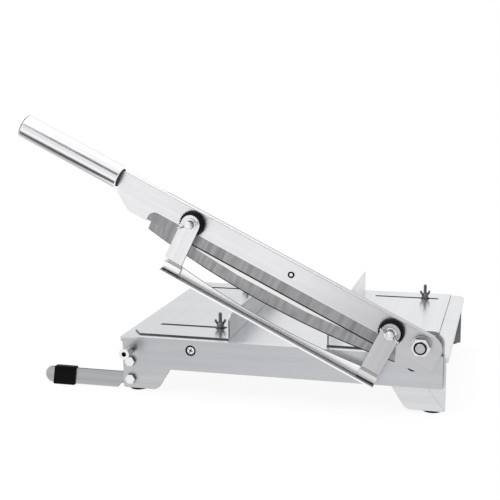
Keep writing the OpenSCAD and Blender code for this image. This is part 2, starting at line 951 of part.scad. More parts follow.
// Ribbed plug that fills the tube's mouth round the arm's tang
module handle_plug() {
    bore_d = handle_d - 2 * handle_wall - 2 * fit_gap;
    pitch = (plug_rim_l + plug_l) / plug_groove_count;
    color([0.12, 0.12, 0.13])
        on_arm()
            along_handle(handle_start)
                difference() {
                    union() {
                        translate([0, 0, -plug_rim_l])
                            cylinder(d = bore_d - 2 * plug_groove, h = plug_rim_l + plug_l);
                        for (i = [0:plug_groove_count - 1])
                            translate([0, 0, i * pitch - plug_rim_l])
                                cylinder(d = bore_d, h = pitch / 2);
                    }
                    translate([-tang_h / 2 - fit_gap, -arm_front_t / 2 - fit_gap, -plug_rim_l - overrun])
                        cube([tang_h + 2 * fit_gap, arm_front_t + 2 * fit_gap,
                              plug_rim_l + plug_l + 2 * overrun]);
                }
}

// Domed cap pressed into the tube's outer end
module handle_end_cap() {
    color("white")
        on_arm()
            along_handle(handle_end) {
                intersection() {
                    cylinder(d = handle_d, h = cap_rim + cap_dome);
                    translate([0, 0, cap_rim + cap_dome - cap_dome_r])
                        sphere(r = cap_dome_r, $fn = 128);
                }
                translate([0, 0, -cap_l])
                    cylinder(d = handle_d - 2 * handle_wall - 2 * fit_gap, h = cap_l + cap_rim);
            }
}

// Guard bar: upright face with a hollow top edge and a lip turned out at its foot
module guard_bar() {
    color("gainsboro")
        on_arm() {
            arm_plate(guard_front, guard_front + guard_t)
                difference() {
                    translate([guard_start, -guard_drop])
                        square([guard_l, guard_drop - guard_top + overrun]);
                    translate([guard_start + guard_half, guard_arc_r - guard_top - guard_sag])
                        circle(r = guard_arc_r, $fn = arc_faces);
                }
            arm_plate(guard_front - guard_lip, guard_front + guard_t)
                translate([guard_start, -guard_drop])
                    square([guard_l, guard_t]);
        }
}

// Ear bracket: round top on its bolt, long leg, and a foot stepped back onto the guard bar
module guard_ear(l) {
    low = -ear_foot_low;
    bend = -ear_bend;
    half = ear_w / 2;
    top = guard_bolt_v + half;
    low_v = low - guard_bolt_v;
    head = [for (i = [0:4 * corner_steps]) half * [cos(45 * i / corner_steps), sin(45 * i / corner_steps)]];
    foot = rounded([[half, 0], [-half, 0], [-half, low_v], [half, low_v]], [0, 0, ear_t, ear_t]);
    outline = concat(head, [for (i = [2:len(foot) - 1]) foot[i]]);
    on_arm()
        difference() {
            intersection() {
                arm_plate(ear_front, ear_foot_front + ear_t)
                    translate([l, guard_bolt_v])
                        polygon(outline);
                translate([-l - half, 0, 0])
                    rotate([90, 0, 90])
                        linear_extrude(ear_w)
                            polygon([[ear_front, top], [ear_back, top], [ear_back, bend],
                                     [ear_foot_front + ear_t, bend - ear_joggle],
                                     [ear_foot_front + ear_t, low], [ear_foot_front, low],
                                     [ear_foot_front, bend - ear_joggle], [ear_front, bend]]);
            }
            hole(-l, guard_bolt_v, guard_bolt_d);
        }
}

module left_guard_ear() {
    color("gainsboro")
        guard_ear(guard_bolt_left);
}

module right_guard_ear() {
    color("lightgray")
        guard_ear(guard_bolt_right);
}

module guard_bolts() {
    color("silver")
        on_arm()
            for (l = guard_bolt_places) {
                along_y(-l, guard_bolt_front, guard_bolt_v)
                    cylinder(d = guard_bolt_d, h = arm_back - guard_bolt_front);
                along_y(-l, arm_back, guard_bolt_v)
                    cylinder(d = guard_bolt_head_d, h = guard_bolt_head_h);
            }
}

module guard_bolt_washers() {
    color("white")
        on_arm()
            for (l = guard_bolt_places)
                along_y(-l, ear_front - guard_washer_t, guard_bolt_v)
                    ring(guard_washer_d, guard_bolt_d, guard_washer_t);
}

module knurled_wheel(l) {
    color([0.06, 0.06, 0.07])
        on_arm()
            along_y(-l, wheel_front, guard_bolt_v)
                linear_extrude(wheel_t)
                    difference() {
                        circle(d = wheel_d);
                        circle(d = guard_bolt_d + 2 * fit_gap);
                        for (i = [0:knurl_count - 1])
                            rotate(i * 360 / knurl_count)
                                translate([wheel_d / 2, 0])
                                    circle(d = knurl_size, $fn = 4);
                    }
}

module left_knurled_wheel() {
    knurled_wheel(guard_bolt_left);
}

module right_knurled_wheel() {
    knurled_wheel(guard_bolt_right);
}

module guard_wing_nut(l, turn) {
    color("white")
        on_arm()
            translate([-l, ear_front - guard_washer_t - run_gap, guard_bolt_v])
                rotate([0, turn, 0])
                    rotate([90, 0, 0])
                        wing_nut(guard_nut_hub_d, guard_nut_hub_h, guard_nut_span, guard_nut_wing_h,
                                 guard_nut_wing_t, guard_bolt_d);
}

module left_guard_wing_nut() {
    guard_wing_nut(guard_bolt_left, left_nut_turn);
}

module right_guard_wing_nut() {
    guard_wing_nut(guard_bolt_right, right_nut_turn);
}

table_top();
front_leg_panel();
rear_leg_panel();
rubber_feet();
lower_blade();
lower_blade_screws();
lower_blade_nuts();
pivot_bracket();
pivot_bolt();
pivot_spacer();
pivot_washer();
pivot_lock_nut();
stop_pin();
stop_pin_nut();
leg_bolts();
leg_bolt_nuts();
outrigger_bar();
outrigger_sleeve();
left_fence();
right_fence();
fence_studs();
fence_washers();
left_front_wing_nut();
left_back_wing_nut();
right_front_wing_nut();
right_back_wing_nut();
arm();
pivot_bush();
knife();
knife_rivet();
handle_tube();
handle_plug();
handle_end_cap();
guard_bar();
left_guard_ear();
right_guard_ear();
guard_bolts();
guard_bolt_washers();
left_knurled_wheel();
right_knurled_wheel();
left_guard_wing_nut();
right_guard_wing_nut();
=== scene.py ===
"""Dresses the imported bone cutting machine: folded sheet steel, ground blades, a satin tube handle, turned and
plated fasteners, and black knurled wheels, in a pale studio."""
import json
import logging
import math
from collections.abc import Callable, Iterable
from dataclasses import dataclass, field
from enum import Enum
from functools import cache

import bpy
from mathutils import Matrix, Vector


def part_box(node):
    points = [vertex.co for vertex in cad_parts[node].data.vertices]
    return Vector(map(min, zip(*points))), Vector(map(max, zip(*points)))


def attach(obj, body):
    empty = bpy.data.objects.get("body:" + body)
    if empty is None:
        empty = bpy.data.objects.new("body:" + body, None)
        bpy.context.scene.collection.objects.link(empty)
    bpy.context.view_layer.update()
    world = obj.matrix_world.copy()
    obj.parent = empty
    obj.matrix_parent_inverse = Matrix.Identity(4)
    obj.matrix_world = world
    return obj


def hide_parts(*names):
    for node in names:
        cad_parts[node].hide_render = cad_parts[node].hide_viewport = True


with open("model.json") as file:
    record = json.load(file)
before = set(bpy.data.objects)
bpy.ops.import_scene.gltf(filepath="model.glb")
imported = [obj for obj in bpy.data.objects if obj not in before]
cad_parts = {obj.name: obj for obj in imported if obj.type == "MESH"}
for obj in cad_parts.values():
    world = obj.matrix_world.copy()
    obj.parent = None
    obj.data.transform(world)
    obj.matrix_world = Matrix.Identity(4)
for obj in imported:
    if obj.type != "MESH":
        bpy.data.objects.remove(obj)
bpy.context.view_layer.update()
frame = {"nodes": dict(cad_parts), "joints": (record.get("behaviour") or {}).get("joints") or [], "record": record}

Piece = bpy.types.Object
Socket = bpy.types.NodeSocket
Node = bpy.types.Node
Tree = bpy.types.NodeTree
Pair = tuple[float, float]
Triple = tuple[float, float, float]
Width = float | Callable[[Vector], float]
Rule = Callable[[Vector, Vector], "Finish"]
LOG = logging.getLogger("bone_cutter")
MM = 0.001
NODES = frame["nodes"]
BODY_OF = {node: body for body, nodes in frame["record"]["behaviour"]["bodies"].items() for node in nodes}
PIVOT = Vector({joint["name"]: joint for joint in frame["joints"]}["arm_swing"]["pos_m"])
CORNER = Vector((*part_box("front_leg_panel")[0][:2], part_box("table_top")[1][2]))
ARM_ANGLE = math.radians(26.4)
ARM_PLACE = Matrix.Translation((PIVOT.x, CORNER.y, PIVOT.z)) @ Matrix.Rotation(ARM_ANGLE, 4, "Y")
ALONG_Y = Matrix.Rotation(-math.pi / 2, 4, "X")
ALONG_HANDLE = Matrix.Rotation(-math.pi / 2, 4, "Y")
OUTWARD = Vector((-math.cos(ARM_ANGLE), 0.0, math.sin(ARM_ANGLE)))
UPWARD = Vector((math.sin(ARM_ANGLE), 0.0, math.cos(ARM_ANGLE)))
RIGHTWARD = Vector((1.0, 0.0, 0.0))
BACKWARD = Vector((0.0, 1.0, 0.0))
WHITE = (1.0, 1.0, 1.0, 1.0)
MELD = 0.002 * MM
RELIEF = 0.2 * MM
NUT_EDGE = 0.4 * MM
FLAT_ANGLE = math.radians(0.4)
SHARP_ANGLE = math.radians(40.0)
SMOOTH_ANGLE = math.radians(32.0)


def table_point(x: float, y: float, z: float) -> Vector:
    """Gives a place from the table's front left top corner, in millimetres right, back and up."""
    return CORNER + Vector((x, y, z)) * MM


def arm_point(u: float, v: float, y: float) -> Vector:
    """Gives a place on the arm before it is placed, in millimetres out from the pivot, up and back."""
    return Vector((-u, y, v)) * MM


class Axis(Enum):
    """Direction that a grain runs along, with the turn that brings it onto the pattern's X."""
    X = (0.0, 0.0, 0.0)
    Y = (0.0, 0.0, math.pi / 2)
    Z = (0.0, math.pi / 2, 0.0)
    ARM = (0.0, -ARM_ANGLE, 0.0)
    ACROSS_ARM = (0.0, math.pi / 2 - ARM_ANGLE, 0.0)


class NodeBench:
    """Adds and links shader nodes in one tree."""

    def __init__(self, tree: Tree) -> None:
        """Starts on the tree of a material, world or group."""
        self.tree = tree

    @classmethod
    def clean(cls, owner: bpy.types.ID) -> "NodeBench":
        """Empties the tree of a material or world.

        Args:
            owner: the material or world.

        Returns:
            A bench on its tree.
        """
        owner.use_nodes = True
        owner.node_tree.nodes.clear()
        return cls(owner.node_tree)

    def add(self, kind: str, inputs: dict | None = None, **props: object) -> Node:
        """Adds a node.

        Args:
            kind: type name of the node, without the ShaderNode that it begins with.
            inputs: values or sockets for its inputs, by name or place.
            props: attributes of the node.

        Returns:
            The new node.
        """
        node = self.tree.nodes.new("ShaderNode" + kind)
        for key, value in props.items():
            setattr(node, key, value)
        for key, value in (inputs or {}).items():
            if isinstance(value, Socket):
                self.tree.links.new(value, node.inputs[key])
            else:
                node.inputs[key].default_value = value
        return node

    def wire(self, node: Node, sockets: dict[str, Socket]) -> None:
        """Links sockets to the inputs of a node that is there already, by name."""
        for label, socket in sockets.items():
            self.tree.links.new(socket, node.inputs[label])

    def math(self, operation: str, *values: float | Socket) -> Socket:
        """Adds a Math node on numbers or sockets."""
        return self.add("Math", dict(enumerate(values)), operation=operation).outputs[0]

    def scaled(self, place: Socket, factors: Triple | Socket) -> Socket:
        """Multiplies a place by a vector, part by part."""
        return self.add("VectorMath", {0: place, 1: factors}, operation="MULTIPLY").outputs[0]

    def length(self, place: Socket) -> Socket:
        """Measures a place's distance from the origin."""
        return self.add("VectorMath", {0: place}, operation="LENGTH").outputs["Value"]

    def spread(self, value: Socket, source: Pair, target: Pair) -> Socket:
        """Maps one range smoothly onto another, where each end is a number or a socket."""
        ends = {"From Min": source[0], "From Max": source[1], "To Min": target[0], "To Max": target[1]}
        return self.add("MapRange", {"Value": value, **ends}, interpolation_type="SMOOTHSTEP").outputs[0]

    def ramp(self, value: Socket, stops: tuple[Pair, ...]) -> Socket:
        """Adds a grey colour ramp.

        Args:
            value: socket that drives the ramp.
            stops: pairs of place and grey level.

        Returns:
            The ramp's colour socket.
        """
        node = self.add("ValToRGB", {"Fac": value})
        elements = node.color_ramp.elements
        while len(elements) < len(stops):
            elements.new(0.5)
        for element, (place, level) in zip(elements, stops):
            element.position = place
            element.color = (level, level, level, 1.0)
        return node.outputs["Color"]

    def tint(self, kind: str, factor: float | Socket, first: tuple | Socket,
             second: tuple | Socket) -> Socket:
        """Mixes two colours by a blend type, with the factor as the second one's share."""
        return self.add("Mix", {0: factor, 6: first, 7: second}, data_type="RGBA", blend_type=kind).outputs[2]

    def grey(self, level: Socket) -> Socket:
        """Turns a level into a grey colour."""
        return self.add("CombineColor", {0: level, 1: level, 2: level}).outputs[0]

    def bump(self, height: Socket, strength: float) -> Socket:
        """Turns a height into the normals of a shallow relief."""
        return self.add("Bump", {"Height": height, "Strength": strength, "Distance": RELIEF}).outputs[0]


def new_group(name: str, inputs: dict[str, float | None],
              outputs: Iterable[str]) -> tuple[NodeBench, Node, Node]:
    """Makes an empty shader node group.

    Args:
        name: group's name.
        inputs: defaults of its inputs by name, with None for a vector.
        outputs: names of its float outputs.

    Returns:
        A bench on the group, with its input and output nodes.
    """
    group = bpy.data.node_groups.new(name, "ShaderNodeTree")
    for label, default in inputs.items():
        kind = "NodeSocketVector" if default is None else "NodeSocketFloat"
        socket = group.interface.new_socket(name=label, in_out="INPUT", socket_type=kind)
        if default is not None:
            socket.default_value = default
    for label in outputs:
        group.interface.new_socket(name=label, in_out="OUTPUT", socket_type="NodeSocketFloat")
    return NodeBench(group), group.nodes.new("NodeGroupInput"), group.nodes.new("NodeGroupOutput")


@cache
def grain_group() -> Tree:
    """Brushed grain: fine hairlines and broader streaks along the pattern's X.

    Returns:
        The node group, made once.
    """
    bench, source, sink = new_group("brushed_grain", {"Vector": None, "Along": 25.0, "Across": 900.0},
                                    ("Hairline", "Streak"))
    for label, share, detail in (("Hairline", 1.0, 3.0), ("Streak", 0.22, 2.0)):
        across = bench.math("MULTIPLY", source.outputs["Across"], share)
        along = bench.math("MULTIPLY", source.outputs["Along"], share)
        scale = bench.add("CombineXYZ", {"X": along, "Y": across, "Z": across}).outputs[0]
        place = bench.scaled(source.outputs["Vector"], scale)
        noise = bench.add("TexNoise", {"Vector": place, "Scale": 1.0, "Detail": detail, "Roughness": 0.6})
        bench.wire(sink, {label: noise.outputs["Fac"]})
    return bench.tree


@cache
def handling_group() -> Tree:
    """Handling marks: soft patches where a surface has been wiped, and fine specks.

    Returns:
        The node group, made once.
    """
    bench, source, sink = new_group("handling_marks", {"Vector": None, "Scale": 18.0}, ("Patch", "Speck"))
    place, scale = source.outputs["Vector"], source.outputs["Scale"]
    soft = bench.add("TexNoise", {"Vector": place, "Scale": scale, "Detail": 3.0, "Roughness": 0.55,
                                  "Distortion": 0.4})
    fine_scale = bench.math("MULTIPLY", scale, 40.0)
    fine = bench.add("TexNoise", {"Vector": place, "Scale": fine_scale, "Detail": 2.0})
    bench.wire(sink, {"Patch": bench.spread(soft.outputs["Fac"], (0.38, 0.68), (0.0, 1.0)),
                      "Speck": bench.spread(fine.outputs["Fac"], (0.3, 0.7), (0.0, 1.0))})
    return bench.tree


@cache
def fade_group() -> Tree:
    """Fade: a level that changes smoothly along a direction, used to paint light and shade.

    Returns:
        The node group, made once.
    """
    bench, source, sink = new_group("smooth_fade", {"Vector": None, "Way": None, "Begin": 0.0, "End": 1.0,
                                                    "Low": 0.0, "High": 1.0}, ("Level",))
    place, way, begin, end, low, high = source.outputs[:6]
    reach = bench.add("VectorMath", {0: place, 1: way}, operation="DOT_PRODUCT").outputs["Value"]
    bench.wire(sink, {"Level": bench.spread(reach, (begin, end), (low, high))})
    return bench.tree


@dataclass(frozen=True)
class Fade:
    """Smooth change of a steel's level along a direction, which paints light and shade into it, such as the
    painted shade inside a fold.
    """
    way: Triple
    begin: float
    end: float
    low: float
    high: float

    @classmethod
    def along(cls, way: Vector, origin: Vector, span: Pair, levels: Pair) -> "Fade":
        """Makes a fade between two distances, in millimetres, from a place along a direction."""
        start = way.dot(origin)
        return cls(tuple(way), start + span[0] * MM, start + span[1] * MM, *levels)

    def level(self, bench: NodeBench, place: Socket) -> Socket:
        """Adds the fade to a material, over its object coordinates."""
        ends = {"Way": self.way, "Begin": self.begin, "End": self.end, "Low": self.low, "High": self.high}
        return bench.add("Group", {"Vector": place, **ends}, node_tree=fade_group()).outputs["Level"]


class Finish:
    """Base of all finishes: a material made once and reused."""

    name: str

    @cache
    def material(self) -> bpy.types.Material:
        """Builds the finish's material at the first call.

        Returns:
            The material.
        """
        material = bpy.data.materials.new(self.name)
        bench = NodeBench.clean(material)
        shader = bench.add("BsdfPrincipled")
        bench.add("OutputMaterial", {"Surface": shader.outputs[0]})
        self.fill(bench, shader)
        return material

    def fill(self, bench: NodeBench, shader: Node) -> None:
        """Wires the finish into a Principled shader."""
        raise NotImplementedError


@dataclass(frozen=True)
class Steel(Finish):
    """Brushed, ground or plated steel with a directed grain, with fades that paint light and shade into its
    colour, and a glow that paints light onto it.
    """
    name: str
    colour: Triple
    roughness: float = 0.34
    grain: Axis = Axis.X
    along: float = 25.0
    across: float = 900.0
    streak: float = 0.08
    relief: float = 0.05
    fades: tuple[Fade, ...] = ()
    # glow: emission strength, painted light on a surface that is no lamp.
    glow: float = 0.0

    def mark(self, bench: NodeBench, place: Socket, level: Socket) -> Socket:
        """Paints light and shade into the steel along its fades.

        Args:
            bench: helper on the material's tree.
            place: object coordinates.
            level: level from the grain.

        Returns:
            The level's socket after the fades.
        """
        for fade in self.fades:
            level = bench.math("MULTIPLY", level, fade.level(bench, place))
        return level

    def fill(self, bench: NodeBench, shader: Node) -> None:
        """Wires grain, streaks and handling marks into the steel.

        Args:
            bench: helper on the material's tree.
            shader: the Principled BSDF node.
        """
        place = bench.add("TexCoord").outputs["Object"]
        turned = bench.add("Mapping", {"Vector": place, "Rotation": self.grain.value}).outputs[0]
        grain = bench.add("Group", {"Vector": turned, "Along": self.along, "Across": self.across},
                          node_tree=grain_group())
        marks = bench.add("Group", {"Vector": place}, node_tree=handling_group())
        level = bench.spread(grain.outputs["Streak"], (0.3, 0.7), (1.0 - self.streak, 1.0))
        shade = bench.grey(self.mark(bench, place, level))
        rough = bench.spread(marks.outputs["Patch"], (0.0, 1.0),
                             (self.roughness * 0.92, self.roughness * 1.12))
        bench.wire(shader, {
            "Base Color": bench.tint("MULTIPLY", 1.0, (*self.colour, 1.0), shade),
            "Roughness": bench.math("MULTIPLY_ADD", grain.outputs["Hairline"], 0.08, rough),
            "Normal": bench.bump(grain.outputs["Hairline"], self.relief),
        })
        shader.inputs["Metallic"].default_value = 1.0
        shader.inputs["Emission Color"].default_value = WHITE
        shader.inputs["Emission Strength"].default_value = self.glow


@dataclass(frozen=True)
class GroundBevel(Steel):
    """Ground bevel with a painted line of shade along its edge, which follows the edge's arc."""
    centre: Pair = (0.0, 0.0)
    radius: float = 1.0
    line: float = 1.3 * MM
    line_end: Fade = Fade.along(OUTWARD, PIVOT, (228.0, 246.0), (0.0, 0.8))

    def mark(self, bench: NodeBench, place: Socket, level: Socket) -> Socket:
        """Paints a line of shade along the edge.

        Args:
            bench: helper on the material's tree.
            place: object coordinates.
            level: level from the grain.

        Returns:
            The level's socket with the line.
        """
        parts = bench.add("SeparateXYZ", {0: place}).outputs
        side = bench.math("SUBTRACT", parts["X"], self.centre[0])
        rise = bench.math("SUBTRACT", parts["Z"], self.centre[1])
        reach = bench.math("SQRT", bench.math("MULTIPLY_ADD", side, side, bench.math("MULTIPLY", rise, rise)))
        line = bench.spread(reach, (self.radius - self.line, self.radius - 0.7 * self.line), (1.0, 0.05))
        faded = bench.math("MAXIMUM", line, self.line_end.level(bench, place))
        return bench.math("MULTIPLY", super().mark(bench, place, level), faded)


@dataclass(frozen=True)
class Moulded(Finish):
    """Black rubber or plastic with a fine pebbled skin."""
    name: str
    colour: Triple
    roughness: float = 0.5
    pebble: float = 1400.0
    relief: float = 0.15
    shine: float = 0.04

    def fill(self, bench: NodeBench, shader: Node) -> None:
        """Wires the pebbled skin and dusty patches.

        Args:
            bench: helper on the material's tree.
            shader: the Principled BSDF node.
        """
        place = bench.add("TexCoord").outputs["Object"]
        marks = bench.add("Group", {"Vector": place}, node_tree=handling_group())
        pale = tuple(min(1.0, 1.8 * c + 0.003) for c in self.colour)
        share = bench.math("MULTIPLY", marks.outputs["Patch"], 0.5)
        skin = bench.add("TexNoise", {"Vector": place, "Scale": self.pebble, "Detail": 2.0})
        bench.wire(shader, {
            "Base Color": bench.tint("MIX", share, (*self.colour, 1.0), (*pale, 1.0)),
            "Roughness": bench.spread(marks.outputs["Speck"], (0.0, 1.0),
                                      (self.roughness * 0.9, self.roughness * 1.15)),
            "Normal": bench.bump(skin.outputs["Fac"], self.relief),
        })
        shader.inputs["Specular IOR Level"].default_value = self.shine


@dataclass(frozen=True)
class CastPlate(Finish):
    """Bright plating on a casting, with painted shade where its corners draw in."""
    name: str
    bright: float = 0.92
    # deep: level of the painted shade in the hollows.
    deep: float = 0.06
    roughness: float = 0.12

    def fill(self, bench: NodeBench, shader: Node) -> None:
        """Wires the painted shade in the hollows and the uneven plating.

        Args:
            bench: helper on the material's tree.
            shader: the Principled BSDF node.
        """
        bend = bench.add("NewGeometry").outputs["Pointiness"]
        level = bench.spread(bend, (0.488, 0.525), (self.deep, self.bright))
        marks = bench.add("Group", {"Vector": bench.add("TexCoord").outputs["Object"]},
                          node_tree=handling_group())
        rough = bench.spread(marks.outputs["Speck"], (0.0, 1.0), (self.roughness * 0.8, self.roughness * 1.4))
        bench.wire(shader, {"Base Color": bench.grey(level), "Roughness": rough})
        shader.inputs["Metallic"].default_value = 1.0


EDGE_RADIUS = 935.92
EDGE_CENTRE = ARM_PLACE @ arm_point(163.0, EDGE_RADIUS - 42.3, 0.0)
# Every fade on the steels below paints a gradient of light and shade into their colour.
ALONG_TABLE = (0.0, 340.0)
ALONG_ARM = (32.0, 260.0)
TABLE_STEEL = Steel("table_steel", (0.78, 0.80, 0.815), 0.24, along=14.0, streak=0.04, relief=0.02,
                    fades=(Fade.along(RIGHTWARD, CORNER, ALONG_TABLE, (0.87, 1.03)),))
LEG_STEEL = Steel("leg_steel", (0.74, 0.75, 0.765), 0.36,
                  fades=(Fade.along(RIGHTWARD, CORNER, ALONG_TABLE, (0.78, 1.14)),))
# Painted shade on sheet edges, lip undersides and the tops of the bracket and guard.
EDGE_SHADE = Steel("sheet_edge_painted_shade", (0.16, 0.165, 0.17), 0.42, across=1600.0, streak=0.2)
BLADE_STEEL = Steel("lower_blade_steel", (0.575, 0.585, 0.605), 0.33, streak=0.06,
                    fades=(Fade.along(RIGHTWARD, CORNER, ALONG_TABLE, (0.94, 1.12)),))
# Painted highlight on the lower blade's top.
BLADE_TOP_HIGHLIGHT = Steel("lower_blade_top_painted_highlight", (0.82, 0.83, 0.85), 0.25)
BRACKET_STEEL = Steel("bracket_steel", (0.66, 0.665, 0.68), 0.30, Axis.Z)
SHADED_LEG = Steel("shaded_leg_steel", (0.20, 0.205, 0.21), 0.40)
SUPPORT_STEEL = Steel("support_bar_steel", (0.47, 0.475, 0.485), 0.34, streak=0.12)
ARM_STEEL = Steel("brushed_arm_steel", (0.84, 0.835, 0.855), 0.30, Axis.ARM, streak=0.05,
                  fades=(Fade.along(OUTWARD, PIVOT, (20.0, 165.0), (0.77, 1.06)),))
# Painted shade on the arm's top faces.
ARM_TOP_SHADE = Steel("arm_top_painted_shade", (0.58, 0.58, 0.595), 0.30, Axis.ARM, streak=0.05)
EAR_STEEL = Steel("ear_steel", (0.90, 0.90, 0.92), 0.30, Axis.ACROSS_ARM,
                  fades=(Fade.along(OUTWARD, PIVOT, ALONG_ARM, (0.70, 1.0)),))
# Painted shade along the ears' bend, which also glows as painted light.
EAR_BEND_LIGHT_AND_SHADE = Steel("ear_bend_painted_light_and_shade", (0.92, 0.92, 0.94), 0.30, Axis.ACROSS_ARM, glow=0.22,
                 fades=(Fade.along(UPWARD, PIVOT, (-49.8, -49.2), (0.06, 1.0)),
                        Fade.along(OUTWARD, PIVOT, ALONG_ARM, (0.76, 1.0))))
# Painted highlight on the ears' feet, which also glow as painted light.
EAR_FOOT_HIGHLIGHT = Steel("ear_foot_painted_highlight", (0.97, 0.97, 0.985), 0.25, Axis.ACROSS_ARM, streak=0.04, glow=0.04,
                 fades=(Fade.along(OUTWARD, PIVOT, ALONG_ARM, (0.82, 1.0)),))
# The guard's face glows as painted light.
GUARD_STEEL = Steel("guard_steel", (0.98, 0.98, 1.0), 0.28, Axis.ARM, streak=0.06, glow=0.10)
# Painted shade darkening into the guard lip's fold.
GUARD_LIP_SHADE = Steel("guard_lip_painted_shade", (0.42, 0.42, 0.43), 0.30, Axis.ARM,
                  fades=(Fade.along(BACKWARD, CORNER, (-21.5, -14.0), (1.0, 0.06)),))
KNIFE_BAND = Steel("knife_band_steel", (0.41, 0.41, 0.42), 0.30, Axis.ACROSS_ARM, 30.0, 620.0, 0.36, 0.12)
KNIFE_POLISH = Steel("knife_polished_steel", (0.90, 0.90, 0.91), 0.20, Axis.ARM)
# Painted shade in the knife's relief groove and on its step.
KNIFE_GROOVE_SHADE = Steel("knife_groove_painted_shade", (0.03, 0.03, 0.032), 0.45, Axis.ARM)
# The bevel's dark line along the cutting edge is painted shade.
KNIFE_BEVEL = GroundBevel("knife_bevel_steel", (0.42, 0.42, 0.43), 0.30, Axis.ACROSS_ARM, 40.0, 900.0, 0.30,
                          0.12, centre=(EDGE_CENTRE.x, EDGE_CENTRE.z), radius=EDGE_RADIUS * MM)
FENCE_STEEL = Steel("fence_steel", (0.77, 0.785, 0.80), 0.20, Axis.Y, streak=0.04, relief=0.02,
                    fades=(Fade.along(RIGHTWARD, CORNER, ALONG_TABLE, (0.85, 1.04)),))
# Painted highlight on the right fence's lip, and painted shade on the left fence's lip.
RIGHT_LIP_HIGHLIGHT = Steel("right_fence_lip_painted_highlight", (0.92, 0.925, 0.94), 0.30, Axis.Y, streak=0.04)
LEFT_LIP_SHADE = Steel("left_fence_lip_painted_shade", (0.52, 0.53, 0.55), 0.30, Axis.Y)
BRIGHT_STEEL = Steel("bright_fastener_steel", (0.90, 0.90, 0.92), 0.13, Axis.Y, streak=0.04, relief=0.02)
# Painted shade on the sides and rims of fasteners.
FASTENER_SIDE_SHADE = Steel("fastener_side_painted_shade", (0.13, 0.13, 0.135), 0.22, Axis.Y, streak=0.1)
TURNED_STEEL = Steel("turned_fastener_steel", (0.60, 0.60, 0.62), 0.22, Axis.Y, streak=0.12)
DARK_STEEL = Steel("dark_fastener_steel", (0.16, 0.16, 0.165), 0.20, Axis.Z, streak=0.1)
# Painted shade in holes, countersinks and recesses.
HOLE_GLOOM = Steel("hole_gloom", (0.02, 0.02, 0.022), 0.5, Axis.Y)
# The tube mouth's lip glows as painted light.
TUBE_RIM_GLOW = Steel("tube_rim_painted_light", (0.92, 0.92, 0.94), 0.4, Axis.ACROSS_ARM, glow=0.35)
TUBE_ALUMINIUM = Steel("tube_aluminium", (0.90, 0.90, 0.925), 0.16, Axis.ARM, 4.0, 500.0, 0.02, 0.006)
BUSH_BRONZE = Steel("bush_bronze", (0.60, 0.42, 0.22), 0.3, Axis.Y)
BLACK_RUBBER = Moulded("matt_black_rubber", (0.003, 0.003, 0.0035), 0.42)
BLACK_PLASTIC = Moulded("hard_black_plastic", (0.012, 0.012, 0.014), 0.35)
PLUG_GREY = Moulded("plug_grey", (0.035, 0.035, 0.038), 0.5, relief=0.3)
CAST_BRIGHT = CastPlate("bright_cast_plating")
CAST_DULL = CastPlate("dull_cast_plating", bright=0.45, deep=0.02, roughness=0.2)
NYLON = Moulded("black_nylon", (0.004, 0.004, 0.005), 0.5, relief=0.05)


def faced(face: Finish, side: Finish) -> Rule:
    """Makes the rule for a flat piece: one finish towards front and back, and one round its sides."""
    return lambda centre, normal: face if abs(normal.y) > 0.5 else side


def thread(radius: float, start: float, end: float, pitch: float) -> list[Pair]:
    """Gives the ridges of a thread as a turned profile.

    Args:
        radius: outer radius in millimetres.
        start: height where it begins.
        end: height where it ends.
        pitch: distance between ridges.

    Returns:
        Pairs of radius and height.
    """
    count = int((end - start) / pitch)
    depth, rise, crest = 0.35 * pitch, 0.4 * pitch, 0.55 * pitch
    root = radius - depth
    bases = [start + step * pitch for step in range(count)]
    rings = [((root, base), (radius, base + rise), (radius, base + crest)) for base in bases]
    return [point for ring in rings for point in ring] + [(root, start + count * pitch)]


